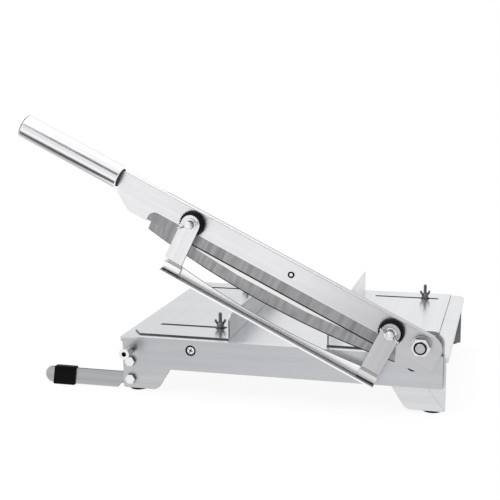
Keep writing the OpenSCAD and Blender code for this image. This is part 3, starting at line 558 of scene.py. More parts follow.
class Workshop:
    """Makes pieces from primitives or from copies of the frame's nodes, and hands them over to the frame."""

    @staticmethod
    def select_only(piece: Piece) -> None:
        """Selects one object and makes it active.

        Args:
            piece: the object.
        """
        bpy.ops.object.select_all(action="DESELECT")
        piece.select_set(True)
        bpy.context.view_layer.objects.active = piece

    @classmethod
    def settle(cls, piece: Piece, place: Matrix) -> Piece:
        """Moves a piece's mesh by a matrix and leaves its object at the origin.

        Args:
            piece: the object.
            place: the move.

        Returns:
            The same piece.
        """
        cls.select_only(piece)
        piece.matrix_world = place
        bpy.ops.object.transform_apply(location=True, rotation=True, scale=True)
        return piece

    @classmethod
    def copy_of(cls, node: str, place: Matrix | None = None) -> Piece:
        """Copies a node's mesh into a new object, with its loose triangles merged into flat faces.

        Args:
            node: name of the node.
            place: where the node's own assembly stands, so that the copy is worked on in its coordinates.

        Returns:
            The new object.
        """
        piece = bpy.data.objects.new(node + "_piece", NODES[node].data.copy())
        bpy.context.scene.collection.objects.link(piece)
        piece.data.materials.clear()
        if place:
            cls.settle(piece, place.inverted())
        cls.select_only(piece)
        bpy.ops.object.mode_set(mode="EDIT")
        bpy.ops.mesh.select_all(action="SELECT")
        bpy.ops.mesh.remove_doubles(threshold=MELD)
        bpy.ops.mesh.dissolve_limited(angle_limit=FLAT_ANGLE)
        bpy.ops.object.mode_set(mode="OBJECT")
        return piece

    @classmethod
    def turned(cls, name: str, profile: list[Pair], sides: int = 64, bored: bool = False) -> Piece:
        """Turns a piece along z: a circle extruded and resized ring by ring.

        Args:
            name: name of the piece.
            profile: pairs of radius and height in millimetres.
            sides: faces round the piece.
            bored: whether the piece is a ring, whose profile ends where it begins.

        Returns:
            The new piece.
        """
        radius, height = profile[0]
        bpy.ops.mesh.primitive_circle_add(vertices=sides, radius=radius * MM,
                                          location=(0.0, 0.0, height * MM),
                                          fill_type="NOTHING" if bored else "NGON")
        piece = bpy.context.object
        piece.name = name
        bpy.ops.object.transform_apply(location=True, rotation=True, scale=True)
        bpy.ops.object.mode_set(mode="EDIT")
        bpy.ops.mesh.select_all(action="SELECT")
        for wide, high in profile[1:]:
            rise = (0.0, 0.0, (high - height) * MM)
            bpy.ops.mesh.extrude_region_move(TRANSFORM_OT_translate={"value": rise})
            share = wide / radius
            bpy.ops.transform.resize(value=(share, share, 1.0), center_override=(0.0, 0.0, high * MM))
            radius, height = wide, high
        bpy.ops.mesh.select_all(action="SELECT")
        bpy.ops.mesh.remove_doubles(threshold=MELD)
        bpy.ops.mesh.normals_make_consistent(inside=False)
        bpy.ops.object.mode_set(mode="OBJECT")
        return piece

    @classmethod
    def block(cls, low: Vector, high: Vector) -> Piece:
        """Makes a box that cuts another piece.

        Args:
            low: its lowest corner.
            high: its highest corner.

        Returns:
            The cutter.
        """
        bpy.ops.mesh.primitive_cube_add(size=1.0, location=(low + high) / 2)
        cutter = bpy.context.object
        cutter.scale = high - low
        bpy.ops.object.transform_apply(location=True, rotation=True, scale=True)
        return cutter

    @classmethod
    def cut(cls, piece: Piece, cutter: Piece) -> None:
        """Cuts one solid out of another.

        Args:
            piece: what is cut.
            cutter: what cuts it, deleted afterwards.
        """
        modifier = piece.modifiers.new("cut", "BOOLEAN")
        modifier.operation = "DIFFERENCE"
        modifier.solver = "EXACT"
        modifier.object = cutter
        cls.select_only(piece)
        bpy.ops.object.modifier_apply(modifier=modifier.name)
        bpy.data.objects.remove(cutter, do_unlink=True)

    @classmethod
    def round_fold(cls, piece: Piece, corner: Vector, inward: Vector, length: float, radius: float) -> None:
        """Rounds a long straight edge along x, as a press does when it folds a sheet.

        Args:
            piece: the object.
            corner: lowest end of the edge.
            inward: signs of y and z that lead from the edge into the piece.
            length: length of the edge.
            radius: radius of the fold.
        """
        middle = corner + Vector((length / 2, inward.y * radius, inward.z * radius))
        outer = corner - Vector((0.0, inward.y, inward.z)) * MM
        far = Vector((corner.x + length, middle.y, middle.z))
        cutter = cls.block(Vector(map(min, outer, far)), Vector(map(max, outer, far)))
        bpy.ops.mesh.primitive_cylinder_add(vertices=96, radius=radius, depth=length + 4 * MM,
                                            location=middle, rotation=(0.0, math.pi / 2, 0.0))
        roller = bpy.context.object
        bpy.ops.object.transform_apply(location=True, rotation=True, scale=True)
        cls.cut(cutter, roller)
        cls.cut(piece, cutter)

    @classmethod
    def paint(cls, piece: Piece, rule: Rule) -> None:
        """Gives each face the finish that a rule names.

        Args:
            piece: the object.
            rule: gives the finish of a face from its centre and normal.
        """
        slots: dict[str, int] = {}
        for face in piece.data.polygons:
            finish = rule(face.center, face.normal)
            if finish.name not in slots:
                slots[finish.name] = len(slots)
                piece.data.materials.append(finish.material())
            face.material_index = slots[finish.name]

    @classmethod
    def ease(cls, piece: Piece, width: Width = 0.0, segments: int = 2) -> None:
        """Breaks the sharp edges of a piece and smooths its curved faces.

        Args:
            piece: the object.
            width: width of the broken edges, or a function that gives it from an edge's middle.
            segments: faces across a broken edge.
        """
        mesh = piece.data
        width_of = width if callable(width) else lambda middle: width
        beside: dict[tuple[int, int], list[Vector]] = {}
        for face in mesh.polygons:
            for key in face.edge_keys:
                beside.setdefault(key, []).append(face.normal)
        widths = []
        for edge in mesh.edges:
            normals = beside.get(edge.key, [])
            sharp = len(normals) == 2 and normals[0].dot(normals[1]) < math.cos(SHARP_ANGLE)
            middle = (mesh.vertices[edge.vertices[0]].co + mesh.vertices[edge.vertices[1]].co) / 2
            widths.append(width_of(middle) if sharp else 0.0)
        widest = max(widths, default=0.0)
        cls.select_only(piece)
        if widest > 0.0:
            name = "bevel_weight_edge"
            weights = mesh.attributes.get(name) or mesh.attributes.new(name, "FLOAT", "EDGE")
            weights.data.foreach_set("value", [value / widest for value in widths])
            modifier = piece.modifiers.new("ease", "BEVEL")
            modifier.width = widest
            modifier.segments = segments
            modifier.limit_method = "WEIGHT"
            modifier.miter_outer = "MITER_ARC"
            bpy.ops.object.modifier_apply(modifier=modifier.name)
        bpy.ops.object.shade_smooth_by_angle(angle=SMOOTH_ANGLE)
        weighted = piece.modifiers.new("weighted", "WEIGHTED_NORMAL")
        weighted.weight = 100
        weighted.keep_sharp = True
        bpy.ops.object.modifier_apply(modifier=weighted.name)

    @classmethod
    def joined(cls, pieces: list[Piece]) -> Piece:
        """Joins pieces into the first of them.

        Args:
            pieces: two or more objects.

        Returns:
            The first piece.
        """
        cls.select_only(pieces[0])
        for piece in pieces[1:]:
            piece.select_set(True)
        bpy.ops.object.join()
        return pieces[0]

    @classmethod
    def repeat(cls, piece: Piece, places: Iterable[Matrix]) -> Piece:
        """Sets copies of a piece in their places and joins them into one.

        Args:
            piece: the piece, which the joined copies stand for.
            places: one matrix a copy.

        Returns:
            The joined piece.
        """
        copies = []
        for place in places:
            copy = piece.copy()
            copy.data = piece.data.copy()
            bpy.context.scene.collection.objects.link(copy)
            copies.append(cls.settle(copy, place))
        name = piece.name
        bpy.data.objects.remove(piece, do_unlink=True)
        whole = cls.joined(copies)
        whole.name = name
        return whole

    @staticmethod
    def hand_over(piece: Piece, node: str, finish: Finish | None = None) -> None:
        """Gives a piece its finish, attaches it to the body of the node that it stands for, and hides that node.

        Args:
            piece: the object.
            node: node that it replaces, whose body it takes.
            finish: its finish, unless its faces are painted already.
        """
        if finish:
            piece.data.materials.clear()
            piece.data.materials.append(finish.material())
        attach(piece, BODY_OF[node])
        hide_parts(node)
        LOG.info("%s: %d faces on %s", piece.name, len(piece.data.polygons), BODY_OF[node])

    @classmethod
    def deliver(cls, piece: Piece, node: str, finish: Finish | None = None, place: Matrix | None = None,
                width: Width = 0.0, segments: int = 2) -> None:
        """Eases a piece, sets it in its place and hands it over.

        Args:
            piece: the object.
            node: node that it replaces.
            finish: its finish, unless its faces are painted already.
            place: where it belongs, unless it stands there already.
            width: width of its broken edges, or a function that gives it.
            segments: faces across a broken edge.
        """
        cls.ease(piece, width, segments)
        if place:
            cls.settle(piece, place)
        cls.hand_over(piece, node, finish)

    @classmethod
    def eased_node(cls, node: str, rule: Rule | Finish, width: Width = 0.2 * MM, place: Matrix | None = None,
                   segments: int = 2) -> None:
        """Replaces a node by a painted copy with broken edges.

        Args:
            node: name of the node.
            rule: its finish, or the rule that paints its faces.
            width: width of the broken edges, or a function that gives it.
            place: where the node's own assembly stands.
            segments: faces across a broken edge.
        """
        piece = cls.copy_of(node, place)
        cls.paint(piece, (lambda centre, normal: rule) if isinstance(rule, Finish) else rule)
        cls.deliver(piece, node, place=place, width=width, segments=segments)

    @classmethod
    def cast_node(cls, node: str, voxel: float, finish: Finish) -> None:
        """Replaces a node by a copy whose sharp corners are melted, as a casting has none.

        Args:
            node: name of the node.
            voxel: size of the remesh.
            finish: its finish.
        """
        piece = cls.copy_of(node)
        cls.select_only(piece)
        remesh = piece.modifiers.new("remesh", "REMESH")
        remesh.mode = "VOXEL"
        remesh.voxel_size = voxel
        bpy.ops.object.modifier_apply(modifier=remesh.name)
        smooth = piece.modifiers.new("smooth", "SMOOTH")
        smooth.factor = 0.5
        smooth.iterations = 4
        bpy.ops.object.modifier_apply(modifier=smooth.name)
        bpy.ops.object.shade_smooth()
        cls.hand_over(piece, node, finish)


@dataclass
class TableAssembly:
    """Folded table top, its two leg panels, rubber feet and the bolts of the left leg."""
    fold: float = 0.9 * MM
    panel_edge: float = 0.3 * MM
    head_edge: float = 0.55 * MM
    foot_inset: float = 13.6
    foot_places: Pair = (12.0, 269.0)
    foot_drop: float = 60.0

    def top(self) -> None:
        """Dresses the table top, with painted shade on the edges under its lips."""
        Workshop.eased_node("table_top", lambda centre, normal: EDGE_SHADE if normal.z < -0.5 else TABLE_STEEL,
                            self.fold, segments=3)

    def panels(self) -> None:
        """Dresses the leg panels, with painted shade on their edges and on the rear panel's front."""
        for node, steel in (("front_leg_panel", LEG_STEEL), ("rear_leg_panel", SHADED_LEG)):
            Workshop.eased_node(node, lambda centre, normal: EDGE_SHADE
                                if abs(normal.y) < 0.5 and normal.z < 0.9
                                else steel if normal.y < 0.5 else LEG_STEEL, self.panel_edge)

    def feet(self) -> None:
        """Turns the four push-in feet."""
        pad = [(9.2, 0.0), (9.7, 0.2), (10.0, 0.7), (10.0, 2.4), (9.8, 2.8), (9.3, 3.0)]
        stem = [(3.0, 3.0), (3.0, 5.0), (4.5, 5.0), (3.1, 6.6), (1.5, 7.0)]
        foot = Workshop.turned("rubber_feet_piece", pad + stem, 72)
        right = (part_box("front_leg_panel")[1].x - CORNER.x) / MM - self.foot_inset
        feet = Workshop.repeat(foot, [Matrix.Translation(table_point(x, y, -self.foot_drop))
                                      for x in (self.foot_inset, right) for y in self.foot_places])
        Workshop.deliver(feet, "rubber_feet", BLACK_RUBBER)

    def build(self) -> None:
        """Builds the whole table, with the hex bolts and nuts of its left leg."""
        self.top()
        self.panels()
        self.feet()
        # The bolt heads get painted shade on their sides.
        Workshop.eased_node("leg_bolts", lambda centre, normal: BRIGHT_STEEL if abs(normal.y) > 0.6
                            else FASTENER_SIDE_SHADE if centre.y < CORNER.y else TURNED_STEEL, self.head_edge)
        Workshop.eased_node("leg_bolt_nuts", TURNED_STEEL, NUT_EDGE)


@dataclass
class LowerBlade:
    """Fixed blade along the table's front, with its cross-head screws in countersinks painted with shade."""
    thickness: float = 5.0
    screw_drop: float = 9.4
    screw_depths: Pair = (11.0, 16.0)
    screw_inset: float = 5.0
    rim: float = 5.8
    recess: Triple = (5.4, 1.15, 1.5)
    edge: float = 0.3 * MM

    def screw_places(self) -> list[Matrix]:
        """Gives the places of the two screws, with their heads at the blade's face.

        Returns:
            The places' matrices.
        """
        low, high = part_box("lower_blade_screws")
        xs = (low.x - CORNER.x) / MM + self.screw_inset, (high.x - CORNER.x) / MM - self.screw_inset
        return [Matrix.Translation(table_point(x, -self.thickness, -self.screw_drop)) @ ALONG_Y for x in xs]

    def blade(self) -> None:
        """Cuts wide countersinks into the blade, and keeps its cutting edge sharp."""
        blade = Workshop.copy_of("lower_blade")
        for place in self.screw_places():
            sink = Workshop.turned("sink", [(self.rim, -1.0), (self.rim, 0.0), (4.4, 1.3), (2.6, 3.0)])
            Workshop.cut(blade, Workshop.settle(sink, place))
        front = CORNER.y - self.thickness * MM

        def rule(centre: Vector, normal: Vector) -> Finish:
            """Paints shade into the countersinks and onto the lower edge, and a highlight onto the top.

            Args:
                centre: middle of a face.
                normal: its normal.

            Returns:
                The face's finish.
            """
            if normal.z > 0.9 and centre.z > CORNER.z:
                return BLADE_TOP_HIGHLIGHT
            if centre.y > front + 0.1 * MM and normal.y < 0.9 or normal.z < -0.9:
                return EDGE_SHADE if abs(normal.x) + abs(normal.z) > 0.98 else HOLE_GLOOM
            return BLADE_STEEL

        Workshop.paint(blade, rule)
        Workshop.deliver(blade, "lower_blade", width=lambda middle: 0.0 if middle.z > CORNER.z else self.edge)

    def screws(self) -> None:
        """Turns the domed screw heads and cuts their cross recesses, with painted shade in them."""
        long, wide, deep = (value * MM for value in self.recess)
        pieces = []
        for place, depth in zip(self.screw_places(), self.screw_depths):
            head = [(1.2, 0.12), (2.4, 0.16), (3.4, 0.32), (3.9, 0.55), (4.0, 0.8), (3.9, 1.05), (2.45, 2.4)]
            screw = Workshop.turned("lower_blade_screws_piece", head + thread(2.45, 3.0, depth, 0.8), 72)
            for turn in (30.0, 120.0):
                bar = Workshop.block(Vector((-long / 2, -wide / 2, -MM)), Vector((long / 2, wide / 2, deep)))
                Workshop.cut(screw, Workshop.settle(bar, Matrix.Rotation(math.radians(turn), 4, "Z")))
            Workshop.paint(screw, lambda centre, normal: HOLE_GLOOM if centre.xy.length < 3.0 * MM
                           and 0.6 * MM < centre.z < 2.0 * MM else BRIGHT_STEEL)
            pieces.append(Workshop.settle(screw, place))
        Workshop.deliver(Workshop.joined(pieces), "lower_blade_screws")

    def build(self) -> None:
        """Builds the blade with its screws and nuts."""
        self.blade()
        self.screws()
        Workshop.eased_node("lower_blade_nuts", TURNED_STEEL, NUT_EDGE)


@dataclass
class PivotAssembly:
    """Upright bracket, pivot bolt with its stack, and the stop pin at the other end."""
    collar_radius: float = 6.7 * MM
    bore_radius: float = 5.5 * MM
    bracket_edge: float = 0.8 * MM
    bolt_edges: Pair = (0.9 * MM, 0.5 * MM)
    washer_edge: float = 0.35 * MM
    nut_edge: float = 0.5 * MM
    pin_edge: float = 0.45 * MM
    pin_hole: float = 2.6 * MM

    def nut_rule(self, centre: Vector, normal: Vector) -> Finish:
        """Paints the nut: bright hexagon, painted shade on its sides, and a black nylon ring.

        Args:
            centre: middle of a face.
            normal: its normal.

        Returns:
            The face's finish.
        """
        reach = math.hypot(centre.x - PIVOT.x, centre.z - PIVOT.z)
        if abs(normal.y) > 0.6:
            return NYLON if centre.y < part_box("pivot_lock_nut")[0].y + 0.1 * MM else BRIGHT_STEEL
        if reach < self.bore_radius:
            return NYLON
        return BRIGHT_STEEL if reach < self.collar_radius + 0.2 * MM else FASTENER_SIDE_SHADE

    def build(self) -> None:
        """Builds the pivot's pieces and the stop pin."""
        # The bracket's top faces get painted shade.
        Workshop.eased_node("pivot_bracket",
                            lambda centre, normal: EDGE_SHADE if normal.z > 0.8 else BRACKET_STEEL,
                            self.bracket_edge, segments=3)
        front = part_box("pivot_bolt")[0].y
        Workshop.eased_node("pivot_bolt", TURNED_STEEL,
                            lambda middle: self.bolt_edges[middle.y >= front + MM], segments=3)
        Workshop.eased_node("pivot_spacer", TURNED_STEEL)
        Workshop.eased_node("pivot_washer", faced(BRIGHT_STEEL, FASTENER_SIDE_SHADE), self.washer_edge)
        Workshop.eased_node("pivot_lock_nut", self.nut_rule, self.nut_edge)
        middle = sum((Vector(corner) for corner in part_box("stop_pin")), Vector()) / 2
        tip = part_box("stop_pin")[0].y

        def pin_rule(centre: Vector, normal: Vector) -> Finish:
            """Paints shade into the pin's hole, and its end face bright.

            Args:
                centre: middle of a face.
                normal: its normal.

            Returns:
                The face's finish.
            """
            if math.hypot(centre.x - middle.x, centre.z - middle.z) < self.pin_hole and centre.y > tip + MM:
                return HOLE_GLOOM
            return BRIGHT_STEEL if normal.y < -0.5 else TURNED_STEEL

        Workshop.eased_node("stop_pin", pin_rule, self.pin_edge)
        Workshop.eased_node("stop_pin_nut", TURNED_STEEL, NUT_EDGE)


@dataclass
class SideSupport:
    """Support bar that swings out of the left leg, with its rubber sleeve."""
    bar_edge: float = 0.35 * MM
    sleeve_round: float = 1.1 * MM

    def build(self) -> None:
        """Builds the bar and its sleeve."""
        # The bar's edges get painted shade.
        Workshop.eased_node("outrigger_bar", faced(SUPPORT_STEEL, EDGE_SHADE), self.bar_edge)
        Workshop.eased_node("outrigger_sleeve", BLACK_RUBBER, self.sleeve_round, segments=4)


@dataclass
class FenceSet:
    """Two sliding fences with their threaded studs, washers and cast wing nuts."""
    stud_top: float = 18.8
    plate_rise: float = 3.0 * MM
    voxel: float = 0.22 * MM
    nuts: tuple[str, ...] = ("left_front_wing_nut", "left_back_wing_nut", "right_front_wing_nut",
                             "right_back_wing_nut")

    def fence_rule(self, centre: Vector, normal: Vector, lip: Finish) -> Finish:
        """Paints a fence: bright plate, the upright lip with painted shade on the left fence and a painted
        highlight on the right one, and painted shade on cut edges and slots.

        Args:
            centre: middle of a face.
            normal: its normal.
            lip: finish of the upright lip.

        Returns:
            The face's finish.
        """
        raised = centre.z - CORNER.z > self.plate_rise
        if abs(normal.x) > 0.9 and raised:
            return lip
        return FENCE_STEEL if abs(normal.z) > 0.7 or raised and normal.z > 0.2 else EDGE_SHADE

    def studs(self) -> None:
        """Turns the four threaded studs on their heads under the table."""
        head = [(3.6, -3.5), (4.0, -3.1), (4.0, -2.0), (1.95, -2.0)]
        shank = thread(2.0, 1.0, self.stud_top - 0.5, 0.7)
        stud = Workshop.turned("fence_studs_piece", head + shank + [(1.3, self.stud_top)], 40)
        places = []
        for node in self.nuts:
            low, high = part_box(node)
            places.append(Matrix.Translation(((low.x + high.x) / 2, (low.y + high.y) / 2, CORNER.z)))
        Workshop.deliver(Workshop.repeat(stud, places), "fence_studs", DARK_STEEL)

    def build(self) -> None:
        """Builds the fences and their fasteners."""
        for node, lip in (("left_fence", LEFT_LIP_SHADE), ("right_fence", RIGHT_LIP_HIGHLIGHT)):
            Workshop.eased_node(node, lambda centre, normal: self.fence_rule(centre, normal, lip))
        self.studs()
        Workshop.eased_node("fence_washers", DARK_STEEL)
        for node in self.nuts:
            Workshop.cast_node(node, self.voxel, CAST_DULL)


@dataclass
class LeverArm:
    """Folded arm with its bush, knife and rivet, worked on in the arm's own coordinates."""
    front: float = -10.8
    back: float = -3.3
    top: float = 13.7
    fold: float = 2.4
    fold_ends: Pair = (-7.0, 300.0)
    plate_end: float = 348.8
    overrun: float = 3.0
    groove: tuple[float, float, float, float] = (8.0, 262.0, -24.4, -22.7)
    groove_span: Pair = (-8.0, -6.9)
    rivet_at: float = 146.5

    def arm(self) -> None:
        """Rounds the arm's two folds and paints shade onto its cut edges."""
        arm = Workshop.copy_of("arm", ARM_PLACE)
        near, low_end = self.fold_ends
        for y, end, way in ((self.front, self.plate_end, 1.0), (self.back, low_end, -1.0)):
            far = end + self.overrun
            Workshop.round_fold(arm, arm_point(far, self.top, y), Vector((0.0, way, -1.0)), (far - near) * MM,
                                self.fold * MM)

        def rule(centre: Vector, normal: Vector) -> Finish:
            """Paints the flat faces bright, and shade onto the top and the cut edges.

            Args:
                centre: middle of a face, in the arm's coordinates.
                normal: its normal.

            Returns:
                The face's finish.
            """
            shaded_edge = normal.z < -0.5 or normal.x < -0.8 and centre.z < 10.0 * MM
            if abs(normal.y) < 0.5 and (shaded_edge or normal.z > 0.85):
                return EDGE_SHADE if shaded_edge else ARM_TOP_SHADE
            return ARM_STEEL

        Workshop.paint(arm, rule)
        Workshop.deliver(arm, "arm", place=ARM_PLACE)

    def knife_rule(self, centre: Vector, normal: Vector) -> Finish:
        """Paints the knife: ground band, painted shade in the relief and on the step, polished flat and ground
        bevel.

        Args:
            centre: middle of a face, in the arm's coordinates.
            normal: its normal.

        Returns:
            The face's finish.
        """
        if normal.y > 0.5:
            return KNIFE_POLISH
        if normal.y < -0.999:
            if centre.y < -8.0 * MM:
                return KNIFE_BAND
            return KNIFE_POLISH if centre.y < -7.3 * MM else KNIFE_GROOVE_SHADE
        if normal.y < -0.9:
            return KNIFE_BEVEL
        return KNIFE_GROOVE_SHADE if centre.z > -25.0 * MM and normal.z < 0.5 else KNIFE_BAND

    def knife(self) -> None:
        """Cuts the relief under the knife's thick band and paints its ground faces, with painted shade in the
        relief.
        """
        knife = Workshop.copy_of("knife", ARM_PLACE)
        right, left, low, high = self.groove
        face, floor = self.groove_span
        Workshop.cut(knife, Workshop.block(arm_point(left, low, face), arm_point(right, high, floor)))
        Workshop.paint(knife, self.knife_rule)
        Workshop.deliver(knife, "knife", place=ARM_PLACE)

    def rivet(self) -> None:
        """Turns the rivet, with painted shade in the groove round its domed middle."""
        length = self.back - self.front + 2.0
        head = [(0.8, 0.1), (1.7, 0.15), (2.1, 0.5), (3.1, 0.55), (3.5, 0.15), (3.7, 0.4), (3.7, 1.0)]
        shank = [(2.45, 1.0), (2.45, length - 1.0)]
        tail = [(3.7, length - 1.0), (3.6, length - 0.4), (2.6, length)]
        rivet = Workshop.turned("knife_rivet_piece", head + shank + tail, 64)
        Workshop.paint(rivet, lambda centre, normal: HOLE_GLOOM if 1.8 * MM < centre.xy.length < 3.4 * MM
                       and centre.z < 0.9 * MM else BRIGHT_STEEL)
        place = ARM_PLACE @ Matrix.Translation(arm_point(self.rivet_at, 0.0, self.front - 1.0)) @ ALONG_Y
        Workshop.deliver(rivet, "knife_rivet", place=place)

    def build(self) -> None:
        """Builds the arm with what is fixed to it."""
        self.arm()
        self.knife()
        Workshop.eased_node("pivot_bush", BUSH_BRONZE, place=ARM_PLACE)
        self.rivet()


@dataclass
class Handle:
    """Tube handle with its ribbed plug and domed end cap."""
    start: float = 351.0
    length: float = 117.0
    radius: float = 12.7
    wall: float = 1.5
    lip: float = 10.1
    axis: Pair = (3.7, -9.55)
    sides: int = 128

    def place(self, distance: float) -> Matrix:
        """Gives the place on the arm of what is turned along the handle, in millimetres from its mouth."""
        return Matrix.Translation(arm_point(self.start + distance, *self.axis)) @ ALONG_HANDLE

    def tube(self) -> None:
        """Turns the tube, with an inward lip at its mouth that glows as painted light."""
        bore, outer, lip, end = self.radius - self.wall, self.radius, self.lip, self.length
        tube = Workshop.turned("handle_tube_piece", [(lip, 0.5), (lip + 0.2, 0.15), (lip + 0.5, 0.0),
                                                     (outer - 0.4, 0.0), (outer - 0.12, 0.12), (outer, 0.4),
                                                     (outer, end - 0.4), (outer - 0.2, end - 0.05),
                                                     (outer - 0.5, end), (bore, end), (bore, 2.0),
                                                     (lip, 1.8), (lip, 0.5)], self.sides, bored=True)
        Workshop.paint(tube, lambda centre, normal: TUBE_RIM_GLOW if normal.z < -0.4 else TUBE_ALUMINIUM)
        Workshop.deliver(tube, "handle_tube", place=ARM_PLACE @ self.place(0.0))

    def cap(self) -> None:
        """Turns the end cap, with painted shade on the rim round its dome."""
        stem = [(10.6, -10.0), (11.15, -9.6), (11.15, 0.0)]
        rim = [(12.4, 0.0), (12.7, 0.25), (12.7, 0.75), (12.4, 1.12)]
        dome = [(11.5, 1.52), (9.0, 2.48), (6.0, 3.30), (3.0, 3.80), (0.6, 3.94)]
        cap = Workshop.turned("handle_end_cap_piece", stem + rim + dome, self.sides)
        Workshop.paint(cap, lambda centre, normal: FASTENER_SIDE_SHADE if centre.z > 0.2 * MM
                       and centre.xy.length > 9.5 * MM else BRIGHT_STEEL)
        Workshop.deliver(cap, "handle_end_cap", place=ARM_PLACE @ self.place(self.length))

    def plug(self) -> None:
        """Cuts the plug back to the tube's mouth and to the lip inside it."""
        plug = Workshop.copy_of("handle_plug", ARM_PLACE)
        inner_end, outer_end = arm_point(330.0, 30.0, 20.0), arm_point(self.start - 0.2, -20.0, -40.0)
        Workshop.cut(plug, Workshop.block(outer_end, inner_end))
        ring = Workshop.turned("ring", [(self.lip, -2.0), (14.0, -2.0), (14.0, 2.1), (self.lip, 2.1),
                                        (self.lip, -2.0)], self.sides, bored=True)
        Workshop.cut(plug, Workshop.settle(ring, self.place(0.0)))
        Workshop.deliver(plug, "handle_plug", PLUG_GREY, ARM_PLACE)

    def build(self) -> None:
        """Builds the whole handle."""
        self.tube()
        self.cap()
        self.plug()


@dataclass
class Guard:
    """Guard bar on its two ears, with bolts, knurled wheels, washers and wing nuts."""
    bolt_us: Pair = (260.3, 32.0)
    bolt_v: float = -1.5
    bolt_front: float = -30.25
    bolt_back: float = -3.3
    wheel_front: float = -18.95
    wheel_root: float = 11.4
    wheel_tip: float = 13.4
    wheel_sides: int = 60
    bar_edge: float = 0.35 * MM
    ear_edge: float = 0.45 * MM
    ear_bend: float = -44.3 * MM
    lip_height: float = -55.0 * MM
    voxel: float = 0.25 * MM

    def along_bolt(self, u: float, y: float) -> Matrix:
        """Gives the place of what is turned along a bolt, in millimetres from the pivot and the front."""
        return ARM_PLACE @ Matrix.Translation(arm_point(u, self.bolt_v, y)) @ ALONG_Y

    def bar_rule(self, centre: Vector, normal: Vector) -> Finish:
        """Paints the bar: a bright face that glows as painted light, painted shade on cut edges, and a lip whose
        painted shade darkens into its fold.

        Args:
            centre: middle of a face, in the arm's coordinates.
            normal: its normal.

        Returns:
            The face's finish.
        """
        if normal.z > 0.7:
            return GUARD_LIP_SHADE if centre.z < self.lip_height else EDGE_SHADE
        return GUARD_STEEL if abs(normal.y) > 0.5 or normal.z < -0.5 else EDGE_SHADE

    def ear_rule(self, centre: Vector, normal: Vector) -> Finish:
        """Paints an ear: face, a foot with a painted highlight, a bend with painted light and shade, and painted
        shade on cut edges.

        Args:
            centre: middle of a face, in the arm's coordinates.
            normal: its normal.

        Returns:
            The face's finish.
        """
        if abs(normal.y) < 0.4:
            return EDGE_SHADE
        if normal.y < -0.9:
            return EAR_FOOT_HIGHLIGHT if centre.z < self.ear_bend else EAR_STEEL
        return EAR_BEND_LIGHT_AND_SHADE

    def bolts(self) -> None:
        """Turns the two threaded bolts with their low domed heads behind the arm."""
        length = self.bolt_back - self.bolt_front
        tip = [(1.6, 0.0), (2.5, 0.1), (2.8, 0.4)] + thread(3.0, 0.9, 9.0, 1.0)
        shank = [(3.0, 9.6), (3.0, length), (6.0, length)]
        head = [(6.0, length + 1.0), (5.2, length + 2.0), (3.5, length + 2.5), (1.0, length + 2.6)]
        bolt = Workshop.turned("guard_bolts_piece", tip + shank + head, 48)
        bolts = Workshop.repeat(bolt, [self.along_bolt(u, self.bolt_front) for u in self.bolt_us])
        Workshop.deliver(bolts, "guard_bolts", BRIGHT_STEEL)

    def wheel(self, node: str, u: float) -> None:
        """Turns a spacer wheel and draws every other rim point out into a knurl.

        Args:
            node: name of the wheel.
            u: millimetres from the pivot.
        """
        root, share = self.wheel_root, self.wheel_tip / self.wheel_root
        front = [(3.1, 0.0), (11.2, 0.0), (root, 0.5), (root, 3.4), (11.2, 3.8)]
        back = [(11.2, 4.2), (root, 4.6), (root, 7.5), (11.2, 8.0), (3.1, 8.0), (3.1, 0.0)]
        wheel = Workshop.turned(node + "_piece", front + back, self.wheel_sides, bored=True)
        bpy.ops.object.mode_set(mode="EDIT")
        bpy.ops.mesh.select_mode(type="VERT")
        bpy.ops.mesh.select_all(action="DESELECT")
        bpy.ops.object.mode_set(mode="OBJECT")
        for point in wheel.data.vertices:
            turn = math.atan2(point.co.y, point.co.x) * self.wheel_sides / (2 * math.pi)
            point.select = point.co.xy.length > (root - 0.1) * MM and round(turn) % 2 == 0
        bpy.ops.object.mode_set(mode="EDIT")
        bpy.ops.transform.resize(value=(share, share, 1.0), center_override=(0.0, 0.0, 0.0))
        bpy.ops.object.mode_set(mode="OBJECT")
        Workshop.deliver(wheel, node, BLACK_PLASTIC, self.along_bolt(u, self.wheel_front))

    def build(self) -> None:
        """Builds the guard and all that carries it."""
        Workshop.eased_node("guard_bar", self.bar_rule, self.bar_edge, ARM_PLACE)
        self.bolts()
        Workshop.eased_node("guard_bolt_washers", faced(BRIGHT_STEEL, FASTENER_SIDE_SHADE), place=ARM_PLACE)
        for side, u in zip(("left", "right"), self.bolt_us):
            Workshop.eased_node(side + "_guard_ear", self.ear_rule, self.ear_edge, ARM_PLACE, segments=3)
            self.wheel(side + "_knurled_wheel", u)
            Workshop.cast_node(side + "_guard_wing_nut", self.voxel, CAST_BRIGHT)


